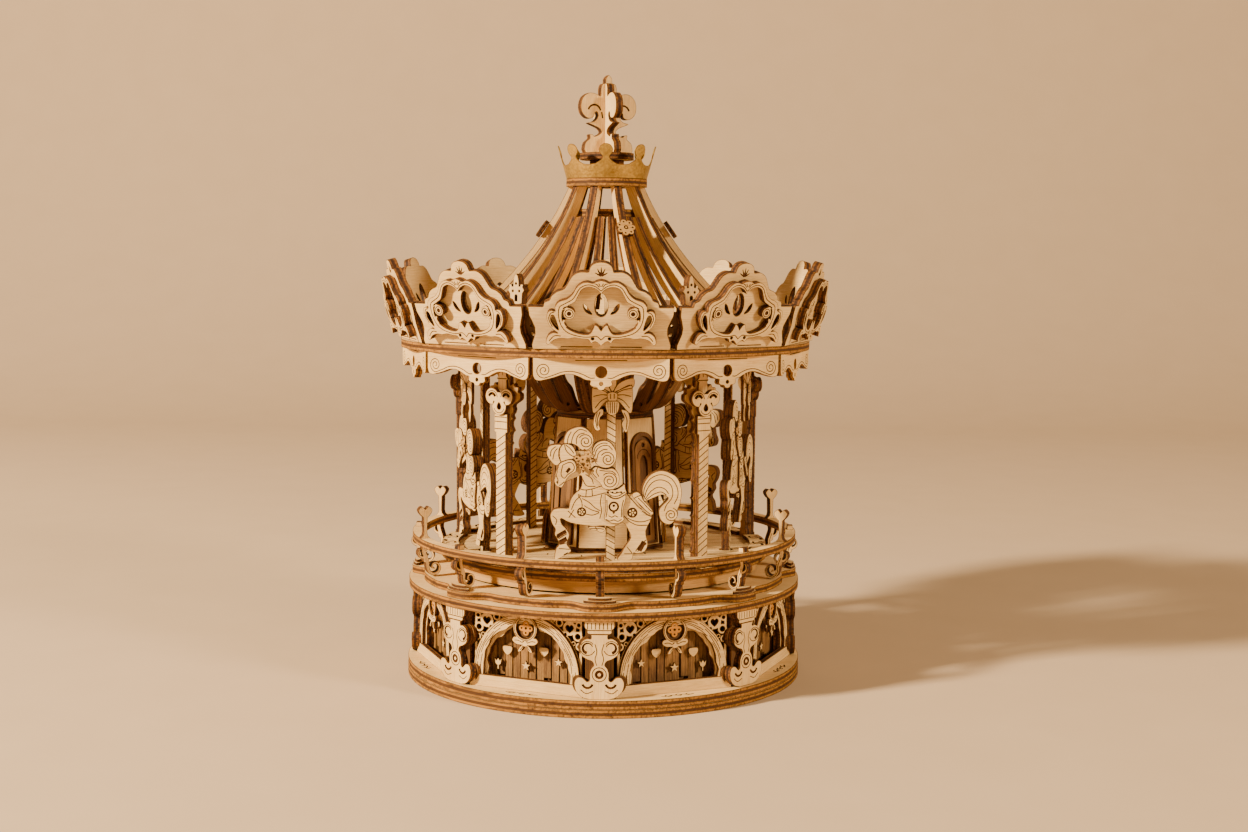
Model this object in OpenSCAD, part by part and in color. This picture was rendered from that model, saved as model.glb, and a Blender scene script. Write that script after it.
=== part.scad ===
// Carousel music box: a laser-cut plywood kit on a round drum. The drum hides
// a wind-up movement; its shaft turns the platform, columns, core, canopy and
// roof as one, and five horses ride up and down on their poles.
// Millimetres, +Z up, origin at the middle of the underside, front towards -Y.

/* [Sheets] */
// Thickness of the main plywood sheet
ply = 3; // [2.8:0.1:3.2]
// Thickness of the thin overlay sheet
thin_ply = 2; // [1.6:0.1:2.2]

/* [Drum] */
// Radius of the two bottom discs
base_r = 77; // [76.9:0.1:78]
// Thickness of each bottom disc
base_disc = 3.2; // [3:0.1:3.2]
// Radius of the drum's top disc
top_r = 76.4; // [76:0.1:76.8]
// Height of the drum wall between the discs
drum_h = 28.1; // [27.8:0.1:28.4]
// Distance from the axis to the outer face of a flat wall panel
panel_r = 68; // [67.8:0.1:68.2]
// Inner radius of the round arch in a wall panel
arch_r = 17.4; // [17:0.1:17.8]
// Height of the sill rail below an arch
sill_h = 4.3; // [4:0.1:5]
// Height of an arch's centre above the bottom discs
spring_h = 6.9; // [6.5:0.1:7]
// Radius of the finger recess around the winding key
recess_r = 14; // [13.5:0.1:14.5]

/* [Railing] */
// Outer radius of the handrail
rail_r = 75; // [74.6:0.1:75.4]
// Radial width of the handrail
rail_w = 4; // [3.8:0.1:4.2]
// Clear height from the scalloped plate to the handrail
rail_lift = 11.6; // [11.4:0.1:11.8]
// Number of balusters
baluster_count = 16; // [16]

/* [Turntable] */
// Radius of the turntable disc
deck_r = 64; // [63.8:0.1:64.2]
// Height of the deck above the ground
deck_z = 49.3; // [49.2:0.1:49.4]
// Radius of the drive shaft
shaft_r = 3; // [2.9:0.1:3]
// Radius of the ring of columns, to the outer face of their backing plates
column_r = 60.6; // [60.4:0.1:60.6]

/* [Horses] */
// Radius of the ring of poles, to the outer face of a pole
pole_r = 50.4; // [50.2:0.1:50.6]
// Width of a pole
pole_w = 3.3; // [3.1:0.1:3.4]
// Turn of the horses' ring away from the middle of the bays
horse_turn = 3.7; // [3:0.1:3.8]
// Travel of a horse from its lowest to its highest point
horse_travel = 7.5; // [7:0.1:7.5]

/* [Canopy] */
// Outer radius of the canopy ring
canopy_r = 79.1; // [78.9:0.1:79.3]
// Height of the canopy ring's underside
canopy_z = 127.1; // [127:0.1:127.2]
// Distance from the axis to the foot of a crest board
crest_r = 77; // [76.8:0.1:77.2]
// Outward lean of the crest boards
crest_lean = 16; // [15:0.5:17]
// Radius of the drooping dome at the ceiling
dome_r = 34.5; // [34:0.1:34.8]

/* [Roof] */
// Height of the crown ring's underside
crown_z = 188.6; // [188.4:0.1:188.8]
// Outer radius of the crown ring
crown_r = 15.6; // [15.4:0.1:15.8]
// Height of the finial's tip
tip_z = 231.3; // [231:0.1:231.6]
// Turn of the crossed finial plates
finial_turn = 25; // [20:1:30]

/* [Hidden] */
$fn = 64;

cream = "BurlyWood";
pale = "Wheat";
burnt = "Sienna";

wall_count = 8;
bay_count = 5;
board_count = 10;

wall_z = 2 * base_disc;
top_z = wall_z + drum_h;
plate_z = top_z + base_disc;
floor_z = plate_z + base_disc;
handrail_z = floor_z + rail_lift;
disc_z = deck_z - ply;
roof_z = canopy_z + ply;

// The pillars stand across the corners; the walls and the sill rails end beside them
corner_turn = 180 / wall_count;
pillar_r = 69.4;
pillar_back_w = 10;
beside = 0.1;
panel_half = ((panel_r - ply) * sin(corner_turn) - pillar_back_w / 2 - beside) / cos(corner_turn);
sill_half = (pillar_r + ply - (panel_r + thin_ply) * cos(corner_turn)) / sin(corner_turn);
arch_z = wall_z + spring_h;

// Rest height of each horse above its lowest point
horse_lift = [0, horse_travel, 5, 2, 0];

// ---- placing helpers -------------------------------------------------------

// Repeats its children around the axis; the copy at zero faces the front
module around(count, first = 0) {
    for (i = [0 : count - 1]) rotate(first + i * 360 / count) children();
}

// Stands a flat outline up as a sheet whose inner face is at radius r
module upright(r, t) {
    translate([0, -r, 0]) rotate([90, 0, 0]) linear_extrude(t) children();
}

// Stands an outline of (radius, height) points up as a radial sheet
module radial(t) {
    rotate([90, 0, -90]) translate([0, 0, -t / 2]) linear_extrude(t) children();
}

module mirrored() {
    children();
    mirror([1, 0]) children();
}

module ring(outer, inner, z, h) {
    translate([0, 0, z]) difference() {
        cylinder(r = outer, h = h, $fn = 128);
        translate([0, 0, -1]) cylinder(r = inner, h = h + 2, $fn = 128);
    }
}

// A point on a curve pulled from a to c by the handle b
function bend(a, b, c, t) = (1 - t) * (1 - t) * a + 2 * t * (1 - t) * b + t * t * c;
function bent(a, b, c, n = 12) = [for (i = [0 : n]) bend(a, b, c, i / n)];
function backwards(list) = [for (i = [len(list) - 1 : -1 : 0]) list[i]];

// ---- drum ------------------------------------------------------------------

module base_plate_lower() color(cream) ring(base_r, recess_r, 0, base_disc);
module base_plate_upper() color(cream) ring(base_r, recess_r, base_disc, base_disc);

module arch_panels() color(pale) around(wall_count, 180 / wall_count)
    upright(panel_r - ply, ply) difference() {
        translate([-panel_half, wall_z]) square([2 * panel_half, drum_h]);
        translate([0, arch_z]) circle(r = arch_r);
        translate([-arch_r, wall_z + 1.5]) square([2 * arch_r, spring_h - 1.5]);
    }

// Boards of changing depth stand behind each arch like a fence of planks
module plank_backdrops() color(burnt) around(wall_count, 180 / wall_count)
    for (i = [-5 : 5]) upright(panel_r - 2 * ply, ply - (abs(i) % 2) * 0.9)
        translate([i * 3.9 - 1.95, wall_z]) square([3.9, drum_h]);

module sill_rails() color(pale) around(wall_count, 180 / wall_count)
    upright(panel_r, thin_ply) translate([-sill_half, wall_z]) square([2 * sill_half, sill_h]);

module pillar_outline(grow = 0) {
    mid = wall_z + drum_h;
    translate([-3.6 - grow, wall_z + 2]) square([7.2 + 2 * grow, drum_h - 2]);
    translate([-5.2 - grow, mid - 3.6]) square([10.4 + 2 * grow, 3.6]);
    mirrored() translate([3.3, wall_z + 20]) circle(r = 3.3 + grow);
    translate([0, wall_z + 9]) circle(r = 3.8 + grow);
    intersection() {
        translate([0, wall_z + 7.6]) circle(r = 8 + grow);
        translate([-9, wall_z]) square([18, 6.4]);
    }
}

module pillar_backings() color(burnt) around(wall_count)
    upright(pillar_r, ply) intersection() {
        pillar_outline(0.5);
        translate([-pillar_back_w / 2, wall_z]) square([pillar_back_w, drum_h]);
    }

module pillars() color(pale) around(wall_count)
    upright(pillar_r + ply, ply - 0.2) difference() {
        intersection() {
            pillar_outline();
            translate([-10, wall_z]) square([20, drum_h]);
        }
        translate([0, wall_z + 9]) circle(r = 1.3);
    }

// An oval boss on the crown of each arch with a ribbon below it
module medallions() color(cream) around(wall_count, 180 / wall_count)
    upright(panel_r, thin_ply) {
        translate([0, wall_z + 23.2]) circle(r = 4.6);
        polygon([[-1, wall_z + 20], [-5.4, wall_z + 19.4], [-4.8, wall_z + 16], [-1.4, wall_z + 17.4],
                 [-2.6, wall_z + 14.6], [0, wall_z + 16.4], [2.6, wall_z + 14.6], [1.4, wall_z + 17.4],
                 [4.8, wall_z + 16], [5.4, wall_z + 19.4], [1, wall_z + 20]]);
    }

module base_top_disc() color(cream) ring(top_r, 5, top_z, base_disc);

module scalloped_plate() color(pale) translate([0, 0, plate_z]) linear_extrude(base_disc)
    difference() {
        union() {
            circle(r = 71.4, $fn = 128);
            around(wall_count) translate([0, -66.4]) circle(r = 9);
        }
        circle(r = 58, $fn = 128);
    }

// Each pad is notched around the foot of the baluster that stands in it
module baluster_pads() color(cream) around(wall_count)
    translate([0, -73.4, floor_z]) linear_extrude(thin_ply) difference() {
        intersection() {
            translate([0, 6]) circle(r = 8);
            translate([0, -6]) circle(r = 8);
        }
        translate([-ply / 2 - beside, -1.2]) square([ply + 2 * beside, 4]);
    }

// ---- railing ---------------------------------------------------------------

module rail_ring() color(cream) ring(rail_r, rail_r - rail_w, handrail_z, ply);

// An S-scroll foot, and above the handrail a neck with a heart on top
module baluster_scroll() {
    z = floor_z;
    polygon(concat(
        bent([66.8, z + 1.5], [72.5, z + 1.5], [71.6, z + 6], 6),
        [[71.4, z + rail_lift], [74.2, z + rail_lift], [74.4, z + 7]],
        bent([74.2, z + 6], [74, z], [69, z], 6), [[66.8, z]]));
    translate([73.2, z + 9]) circle(r = 2.1);
}

module heart_finial() {
    z = handrail_z + ply;
    polygon([[71.8, z], [72.4, z + 1.2], [72.2, z + 8.2], [73.8, z + 8.2], [73.6, z + 1.2], [74.2, z]]);
    for (s = [-1, 1]) translate([73 + s * 1.15, z + 10.4]) circle(r = 1.6);
    polygon([[70.4, z + 9.9], [73, z + 7], [75.6, z + 9.9], [73, z + 10.6]]);
}

module stub_finial() {
    translate([71.8, handrail_z + ply]) square([2.4, 1.6]);
}

// Hearts stand between the pillars; a short stub keys the handrail above each pillar
module balusters() color(pale) for (i = [0 : baluster_count - 1])
    rotate(i * 360 / baluster_count) radial(ply) {
        baluster_scroll();
        if (i % 2 == 1) heart_finial();
        else stub_finial();
    }

// ---- under the turntable ---------------------------------------------------

// Height of the wavy track at an angle: it passes each horse's rest height
track_step = 360 / bay_count;
function eased(t) = (1 - cos(180 * t)) / 2;
function track_h(a) = let (k = floor(a / track_step), t = eased(a / track_step - k))
    0.6 + horse_lift[k % bay_count] * (1 - t) + horse_lift[(k + 1) % bay_count] * t;
track_ring = [44.4, 47];
track_parts = 90;

module cam_track() color(cream) rotate(horse_turn) translate([0, 0, plate_z]) {
    at = [for (i = [0 : track_parts - 1]) i * 360 / track_parts];
    points = [for (a = at) each
        [for (p = [[0, 0], [1, 0], [1, 1], [0, 1]])
            [track_ring[p[0]] * sin(a), -track_ring[p[0]] * cos(a), p[1] * track_h(a)]]];
    faces = [for (i = [0 : track_parts - 1], e = [0 : 3])
        let (j = (i + 1) % track_parts, f = (e + 1) % 4)
        [4 * i + e, 4 * i + f, 4 * j + f, 4 * j + e]];
    polyhedron(points, faces, convexity = 8);
}

// ---- movement --------------------------------------------------------------

bed_z = wall_z + 2;
bed_t = 2;
barrel_r = 14;
barrel_z = bed_z + 4;
cylinder_r = 6.4;
cylinder_x = 22.6;
cylinder_len = 28;
cylinder_z = bed_z + bed_t + 7.6;
key_stem_r = 2;

module bedplate() color("Silver") {
    difference() {
        translate([-20, -22, bed_z]) cube([68, 44, bed_t]);
        translate([0, 0, bed_z - 1]) cylinder(r = key_stem_r + 0.05, h = bed_t + 2);
        translate([30, -18.6, bed_z - 1]) cylinder(r = 0.85, h = bed_t + 2);
    }
    for (x = [-17, 45], y = [-19, 19]) translate([x, y, wall_z]) cylinder(r = 2.4, h = bed_z - wall_z);
    for (s = [-1, 1]) difference() {
        translate([cylinder_x - 3, s * (cylinder_len / 2 + 1.4) - 1, bed_z + bed_t]) cube([6, 2, 11]);
        translate([cylinder_x, s * (cylinder_len / 2 + 1.4) - 2, cylinder_z]) rotate([-90, 0, 0])
            cylinder(r = 1.05, h = 4);
    }
    translate([34, -14, bed_z + bed_t]) cube([11, 28, cylinder_z - bed_z - bed_t - 1]);
}

// Eighteen steel tongues reach from the foot of the comb to the pins
module comb() color("Silver") translate([0, 0, cylinder_z - 1]) {
    translate([33, -14, 0]) cube([12, 28, 1.2]);
    for (i = [0 : 17]) translate([cylinder_x + cylinder_r + 0.9, -13.6 + i * 1.53, 0]) cube([3.6, 1.1, 0.8]);
}

module movement_screws() color("Silver") {
    for (x = [-17, 45], y = [-19, 19]) translate([x, y, bed_z + bed_t]) cylinder(r = 2, h = 1.4);
    for (y = [-9, 9]) translate([40, y, cylinder_z + 0.2]) cylinder(r = 1.8, h = 1.2);
}

module shaft_bush() color("Goldenrod") {
    ring(5, shaft_r + 0.05, top_z - 2, base_disc + 2);
    ring(8, 5, top_z - 2, 2);
}

// A flat wing key under the drum, kept inside the finger recess
module winding_key() color("Goldenrod") {
    translate([0, 0, 1.2]) cylinder(r = key_stem_r, h = bed_z + bed_t - 0.4);
    difference() {
        upright(-0.9, 1.8) for (s = [-1, 1]) hull() {
            translate([s * 8, 3.8]) circle(r = 2.6);
            translate([s * 1, 3.8]) circle(r = 2);
        }
        for (s = [-1, 1]) translate([s * 8, 3, 3.8]) rotate([90, 0, 0]) cylinder(r = 1.2, h = 6);
        translate([0, 0, 1]) cylinder(r = key_stem_r, h = 8);
    }
}

module pin_cylinder() color("Goldenrod") translate([cylinder_x, 0, cylinder_z]) rotate([-90, 0, 0]) {
    translate([0, 0, -cylinder_len / 2]) cylinder(r = cylinder_r, h = cylinder_len);
    translate([0, 0, -cylinder_len / 2 - 2.2]) cylinder(r = 1, h = cylinder_len + 4.4);
    for (i = [0 : 17], j = [0 : 2]) rotate((i * 7 + j * 5) * 360 / 31 + j * 120)
        translate([cylinder_r - 0.3, -0.2, -13.4 + i * 1.53]) cube([0.7, 0.4, 0.4]);
}

// The air brake that keeps the tune at an even speed
module governor() color("Goldenrod") translate([30, -18.6, 0]) {
    translate([0, 0, bed_z]) cylinder(r = 0.8, h = 14);
    translate([-3, -0.4, bed_z + 7]) cube([6, 0.8, 6]);
}

module spring_barrel() color("Goldenrod") {
    ring(barrel_r, shaft_r, barrel_z, 9);
    around(36) translate([0, -barrel_r + 0.4, barrel_z + 7]) rotate([90, 0, 0]) translate([-0.5, 0, 0])
        cube([1, 2, 1]);
}

module drive_shaft() color("Silver") translate([0, 0, bed_z + bed_t + 1.2])
    cylinder(r = shaft_r, h = disc_z - bed_z - bed_t - 1.2);

// ---- turntable -------------------------------------------------------------

module pole_slots() {
    around(bay_count, horse_turn) translate([0, -pole_r + ply / 2, 0]) cylinder(r = 2.6, h = 300);
}

module turntable_disc() color(cream) difference() {
    translate([0, 0, disc_z]) cylinder(r = deck_r, h = ply, $fn = 128);
    pole_slots();
}

module turntable_skirt() color(burnt) ring(60, 57.6, floor_z + 0.6, disc_z - floor_z - 0.6);

module turntable_lace() color(pale) difference() {
    ring(deck_r - 0.4, deck_r - 7, deck_z, 1.4);
    around(bay_count, 180 / bay_count) translate([-3.9, -66, deck_z - 1]) cube([7.8, 10, 4]);
}

// ---- columns ---------------------------------------------------------------

collar_z = 98.3;
capital_z = 105;

module around_columns() around(bay_count, 180 / bay_count) children();

module column_posts() color(pale) around_columns() upright(column_r, ply) {
    translate([-2.25, deck_z]) square([4.5, collar_z - deck_z]);
    translate([-3, collar_z]) square([6, capital_z - collar_z]);
}

module column_backings() color(cream) around_columns() upright(column_r - ply, ply)
    translate([-3, deck_z]) square([6, canopy_z - deck_z]);

module column_capitals() color(pale) around_columns() upright(column_r, ply) {
    translate([-2.2, capital_z]) square([4.4, 12]);
    translate([-1.8, capital_z]) square([3.6, canopy_z - capital_z]);
    mirrored() translate([4.1, capital_z + 6.4]) circle(r = 3.1);
}

module column_finials() color(pale) around_columns() upright(51, ply) {
    translate([-2.4, roof_z]) square([4.8, 18]);
    translate([-3.6, roof_z + 15]) square([7.2, 5]);
    translate([-1.6, roof_z + 20]) square([3.2, 4]);
}

// ---- core ------------------------------------------------------------------

core_low = 22.5;
core_high = 19;
core_z = deck_z + 1.8;
core_top = 100.4;
core_t = 2;
core_tilt = atan((core_low - core_high) / (core_top - core_z));

// Leans a sheet back so that it follows the tapering side of the core
module core_face(lift = 0) {
    translate([0, -core_low, core_z]) rotate([-core_tilt, 0, 0])
        translate([0, -lift, 0]) rotate([90, 0, 0]) linear_extrude(core_t) children();
}

module core_panels() color(cream) around(wall_count) core_face(-core_t)
    polygon([[-8.4, 0.2], [8.4, 0.2], [7, core_top - core_z - 0.4], [-7, core_top - core_z - 0.4]]);

module core_arch_frames() color(burnt) around(4, 45) core_face() difference() {
    union() {
        translate([-5.2, 2]) square([10.4, 24]);
        translate([0, 26]) circle(r = 5.2);
    }
    translate([-2.8, 5]) square([5.6, 20]);
    translate([0, 25]) circle(r = 2.8);
}

module core_doors() color(pale) around(4) core_face() translate([-7.4, 0.4]) square([14.8, 10]);

module core_rings() color(burnt) {
    translate([0, 0, deck_z]) difference() {
        rotate(22.5) cylinder(r = core_low / cos(22.5) + 0.6, h = core_z - deck_z, $fn = 8);
        translate([0, 0, -1]) cylinder(r = 16, h = 5);
    }
    ring(18.6, 12, core_top, thin_ply);
}

// ---- canopy ----------------------------------------------------------------

dome_foot_z = core_top + thin_ply;

module dome_ribs() color(cream) around(board_count, 180 / board_count) radial(ply)
    polygon(concat(
        bent([18.4, dome_foot_z], [29.5, dome_foot_z + 5], [dome_r, canopy_z]),
        backwards(bent([13, dome_foot_z], [24, dome_foot_z + 7], [dome_r - 6, canopy_z]))));

module canopy_ring() color(cream) difference() {
    ring(canopy_r, 28, canopy_z, ply);
    pole_slots();
}

// A bow of ribbon hangs from the ceiling in front of each pole
module pole_bows() color(pale) around(bay_count, horse_turn) upright(55, thin_ply) {
    polygon([[-2, canopy_z], [-2, 118], [-6.8, 119.6], [-7, 109], [-2, 112], [-3, 106],
             [-7, 101.5], [-3.4, 100.2], [0, 107], [4, 101], [8, 102.5], [3, 106],
             [2, 112], [7, 109], [6.8, 119.6], [2, 118], [2, canopy_z]]);
}

crest_top = 31.1;

// Leans a board outwards from its foot on the canopy ring
module leaning(lift, t) {
    translate([0, -crest_r + ply, roof_z + 0.9]) rotate([crest_lean, 0, 0])
        translate([0, -lift, 0]) rotate([90, 0, 0]) linear_extrude(t) children();
}

module crest_outline() {
    mirrored() polygon([[0, 0], [23.8, 0], [23, 4], [22.8, 7], [24, 10], [24.8, 12.4], [25.1, 15],
        [19.6, 15], [19.2, 18], [15.6, 20.2], [13, 23.6], [9.6, 27], [4.6, 27.6], [3.8, 29.8],
        [0, crest_top]]);
}

module crest_boards() color(pale) around(board_count) leaning(0, ply) crest_outline();

module crest_cartouches() color(pale) around(board_count) leaning(ply, ply) mirrored()
    polygon([[0, 2.6], [5, 3.6], [12, 4.4], [18.6, 1.6], [19.4, 5], [16, 8], [17.6, 11], [16.4, 16],
             [12, 19.6], [8.6, 23.6], [3.4, 25.4], [0, 28]]);

module corner_posts() color(burnt) around(board_count, 180 / board_count)
    translate([0, -crest_r + 2.2, roof_z]) rotate([crest_lean, 0, 0]) rotate([90, 0, 0])
        linear_extrude(thin_ply - 0.6) translate([-3, 0.7]) square([6, 13]);

module valances() color(pale) around(board_count) upright(crest_r - 4, ply) difference() {
    union() {
        mirrored() polygon([[0, canopy_z], [23.4, canopy_z], [23.4, canopy_z - 6],
            [20.6, canopy_z - 7.8], [17, canopy_z - 7.2], [12, canopy_z - 4.6], [6, canopy_z - 5.4],
            [3, canopy_z - 8], [0, canopy_z - 8]]);
        translate([0, canopy_z - 9.4]) circle(r = 2.6);
    }
    translate([0, canopy_z - 5.2]) circle(r = 1.5);
    translate([0, canopy_z - 9.6]) circle(r = 0.6);
}

// ---- roof ------------------------------------------------------------------

mid_ring_z = 177;

function rib_outer() = bent([14.6, crown_z], [28, 158], [64, roof_z], 16);
function rib_inner() = bent([10, crown_z], [22.5, 153], [57, roof_z], 16);

module roof_ribs() color(cream) around(board_count, 180 / board_count) radial(ply)
    polygon(concat(rib_outer(), backwards(rib_inner())));

// The short ribs are notched to leave room for a pole's head at its highest point
module roof_short_ribs() color(cream) around(board_count) for (s = [-6, 6]) rotate(s) radial(2.4) {
    difference() {
        intersection() {
            polygon(concat(rib_outer(), backwards(rib_inner())));
            translate([12, roof_z]) square([60, mid_ring_z - roof_z]);
        }
        translate([pole_r - 12, roof_z]) square([12 + 0.5, horse_travel + 2.2]);
    }
}

module roof_mid_ring() color(burnt) ring(13, 9.6, mid_ring_z, ply);

flower_turns = [-90, 18, 90, 162, -162];

// Seven-petal flowers are pinned to some of the ribs
module roof_flowers() color(pale) for (turn = flower_turns) rotate(turn)
    translate([0, -24.1, 172]) rotate([-35, 0, 0]) rotate([90, 0, 0]) linear_extrude(thin_ply) {
        circle(r = 1.8);
        for (i = [0 : 6]) rotate(i * 360 / 7) translate([2.5, 0]) circle(r = 1.2);
    }

band_z = crown_z + ply;

module crown_ring() color(cream) ring(crown_r, 7, crown_z, ply);

// A thin gilded band flares outwards and ends in eight round-headed points
module crown_band() color("Gold") {
    translate([0, 0, band_z]) rotate_extrude($fn = 96)
        polygon([[14.4, 0], [15.2, 0], [17, 6.2], [16.2, 6.2]]);
    around(8) translate([0, -16.2, band_z + 5.4]) rotate([16, 0, 0]) rotate([90, 0, 0])
        linear_extrude(0.8) {
            translate([-1.8, 0]) square([3.6, 5]);
            translate([0, 5.6]) circle(r = 2.2);
        }
}

module crown_disc() color(burnt) {
    ring(6.6, 2.6, band_z, 7.4);
    translate([0, 0, band_z + 7.4]) cylinder(r = 10.4, h = ply - 0.4);
}

finial_z = band_z + 7.4 + ply - 0.4;
finial_h = tip_z - finial_z;

module fleur_outline() {
    h = finial_h;
    polygon([[-2, 0], [-2, 9], [-3.6, 16], [-3.4, 22], [0, h], [3.4, 22], [3.6, 16], [2, 9], [2, 0]]);
    translate([-5.4, 8.4]) square([10.8, 2.2]);
    mirrored() {
        translate([7, 18]) circle(r = 4.2);
        translate([3.6, 3.4]) circle(r = 3.2);
        polygon([[1.6, 8], [4.6, 8], [6.4, 15], [1.6, 17]]);
    }
}

module finial_slot(z, h) translate([-ply / 2, -20, z]) cube([ply, 40, h]);

module finial_plate_a() color(pale) rotate(finial_turn) difference() {
    translate([0, 0, finial_z]) upright(-ply / 2, ply) fleur_outline();
    finial_slot(finial_z - 1, finial_h / 2 + 1);
}

module finial_plate_b() color(cream) rotate(finial_turn + 90) difference() {
    translate([0, 0, finial_z]) upright(-ply / 2, ply) fleur_outline();
    finial_slot(finial_z + finial_h / 2, finial_h);
}

// ---- horses ----------------------------------------------------------------

hoof_z = 52.8;

module horse_outline() {
    polygon([[-19.9, 34], [-20.4, 28.4], [-17.6, 26.2], [-13.2, 29], [-14.6, 21], [-21.6, 17],
             [-20, 12], [-17.8, 7.4], [-19.4, 0], [-14.2, 0], [-15.2, 7], [-16.6, 12], [-13, 13],
             [-6, 10.6], [4, 12], [8.3, 5], [3.3, 0], [8, 0], [12.8, 5], [12, 11], [15, 16.4],
             [12.8, 22], [6.6, 24], [1, 24], [2, 32], [-1, 40], [-6, 46], [-14, 46], [-19, 42]]);
    translate([-10.5, 42.6]) circle(r = 5);
    translate([-18.2, 38.6]) circle(r = 4);
    translate([-1.8, 35.4]) circle(r = 4.6);
    translate([-0.8, 28.4]) circle(r = 3.8);
    difference() {
        translate([18.2, 23]) circle(r = 7.6);
        translate([18.6, 21.4]) circle(r = 4);
        translate([13, 10]) square([5.6, 11.4]);
    }
    translate([21, 16.6]) circle(r = 3.3);
}

module horse(k) color(pale) rotate(horse_turn + k * track_step)
    translate([0, 0, hoof_z + horse_lift[k]]) upright(pole_r, ply) horse_outline();

module pole(k) color(cream) rotate(horse_turn + k * track_step)
    translate([-pole_w / 2, -pole_r, plate_z + 0.6 + horse_lift[k]])
        cube([pole_w, ply, roof_z - plate_z + 0.9]);

// ---- assembly --------------------------------------------------------------

base_plate_lower();
base_plate_upper();
arch_panels();
plank_backdrops();
sill_rails();
pillar_backings();
pillars();
medallions();
base_top_disc();
scalloped_plate();
baluster_pads();
rail_ring();
balusters();
cam_track();
bedplate();
comb();
movement_screws();
shaft_bush();
winding_key();
pin_cylinder();
governor();
spring_barrel();
drive_shaft();
turntable_disc();
turntable_skirt();
turntable_lace();
column_posts();
column_backings();
column_capitals();
column_finials();
core_panels();
core_arch_frames();
core_doors();
core_rings();
dome_ribs();
canopy_ring();
pole_bows();
crest_boards();
crest_cartouches();
corner_posts();
valances();
roof_ribs();
roof_short_ribs();
roof_mid_ring();
roof_flowers();
crown_ring();
crown_band();
crown_disc();
finial_plate_a();
finial_plate_b();
horse(0);  // horse_1
horse(1);  // horse_2
horse(2);  // horse_3
horse(3);  // horse_4
horse(4);  // horse_5
pole(0);  // pole_1
pole(1);  // pole_2
pole(2);  // pole_3
pole(3);  // pole_4
pole(4);  // pole_5
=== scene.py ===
import math
import random

import bpy
import numpy as np
from mathutils import Matrix, Vector
from mathutils.geometry import delaunay_2d_cdt


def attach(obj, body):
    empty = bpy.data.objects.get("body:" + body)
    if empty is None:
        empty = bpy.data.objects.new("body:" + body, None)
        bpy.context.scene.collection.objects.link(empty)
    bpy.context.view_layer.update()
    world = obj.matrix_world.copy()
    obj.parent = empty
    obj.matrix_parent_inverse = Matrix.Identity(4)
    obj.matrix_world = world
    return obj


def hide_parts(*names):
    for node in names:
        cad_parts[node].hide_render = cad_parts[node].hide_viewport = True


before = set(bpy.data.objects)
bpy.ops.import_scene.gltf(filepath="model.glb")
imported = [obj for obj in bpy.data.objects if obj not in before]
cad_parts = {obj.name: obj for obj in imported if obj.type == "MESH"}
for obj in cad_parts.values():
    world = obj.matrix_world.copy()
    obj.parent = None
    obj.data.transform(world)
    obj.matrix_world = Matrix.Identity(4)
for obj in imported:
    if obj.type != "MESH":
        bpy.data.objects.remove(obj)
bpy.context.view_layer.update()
scene = bpy.context.scene

# ---- Camera ------------------------------------------------------------------
# A table-height view from the front, a little above the canopy, with a normal
# lens. Lengths are in metres here; every wooden piece below is in millimetres.

view_turn = math.radians(1.1)
view_yaw, view_pitch, view_roll = -0.0114, 0.0971, 0.0080
lens_mm, sensor_mm = 48.03, 36.0
ahead = Vector((-math.sin(view_yaw), math.cos(view_yaw), 0))
across = Vector((math.cos(view_yaw), math.sin(view_yaw), 0))
upright = Vector((0, 0, 1))
gaze = ahead * math.cos(view_pitch) - upright * math.sin(view_pitch)
rise = ahead * math.sin(view_pitch) + upright * math.cos(view_pitch)
right = across * math.cos(view_roll) + rise * math.sin(view_roll)
up = rise * math.cos(view_roll) - across * math.sin(view_roll)
camera = bpy.data.objects.new("camera", bpy.data.cameras.new("camera"))
camera.data.lens = lens_mm
camera.data.sensor_width = sensor_mm
axes = Matrix((right, up, -gaze)).transposed().to_4x4()
place = Matrix.Translation((0, -0.65005, 0.16304)) @ axes
camera.matrix_world = Matrix.Rotation(view_turn, 4, "Z") @ place
scene.collection.objects.link(camera)
scene.camera = camera

# ---- Plywood -----------------------------------------------------------------
# Basswood plywood, cut by laser: pale bare faces with a fine straight grain,
# cut edges toasted to orange-brown or charred where the cut is tight, showing
# the three veneers, and lines burnt a few tenths of a millimetre into the face.


class Wire:
    """A socket of a node tree; arithmetic on it adds Math nodes."""

    def __init__(self, graph, socket):
        self.graph, self.socket = graph, socket

    def math(self, operation, first, second):
        return self.graph.node("ShaderNodeMath", {"operation": operation}, {0: first, 1: second})

    def __add__(self, other):
        return self.math("ADD", self, other)

    def __sub__(self, other):
        return self.math("SUBTRACT", self, other)

    def __mul__(self, other):
        return self.math("MULTIPLY", self, other)

    def __truediv__(self, other):
        return self.math("DIVIDE", self, other)

    def __rsub__(self, other):
        return self.math("SUBTRACT", other, self)

    def __rtruediv__(self, other):
        return self.math("DIVIDE", other, self)

    __radd__, __rmul__ = __add__, __mul__


class Graph:
    """A node tree that is built from expressions on wires."""

    def __init__(self, tree):
        self.tree = tree

    def node(self, kind, settings=None, inputs=None, out=0):
        made = self.tree.nodes.new(kind)
        for key, value in (settings or {}).items():
            if key == "stops":
                ramp = made.color_ramp
                while len(ramp.elements) < len(value):
                    ramp.elements.new(0.5)
                for element, (position, shade) in zip(ramp.elements, value):
                    element.position, element.color = position, (*shade, 1)
            else:
                setattr(made, key, value)
        for key, value in (inputs or {}).items():
            self.feed(made.inputs[key], value)
        return Wire(self, made.outputs[out]) if made.outputs else None

    def feed(self, socket, value):
        if isinstance(value, Wire):
            self.tree.links.new(value.socket, socket)
        else:
            socket.default_value = value


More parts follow.
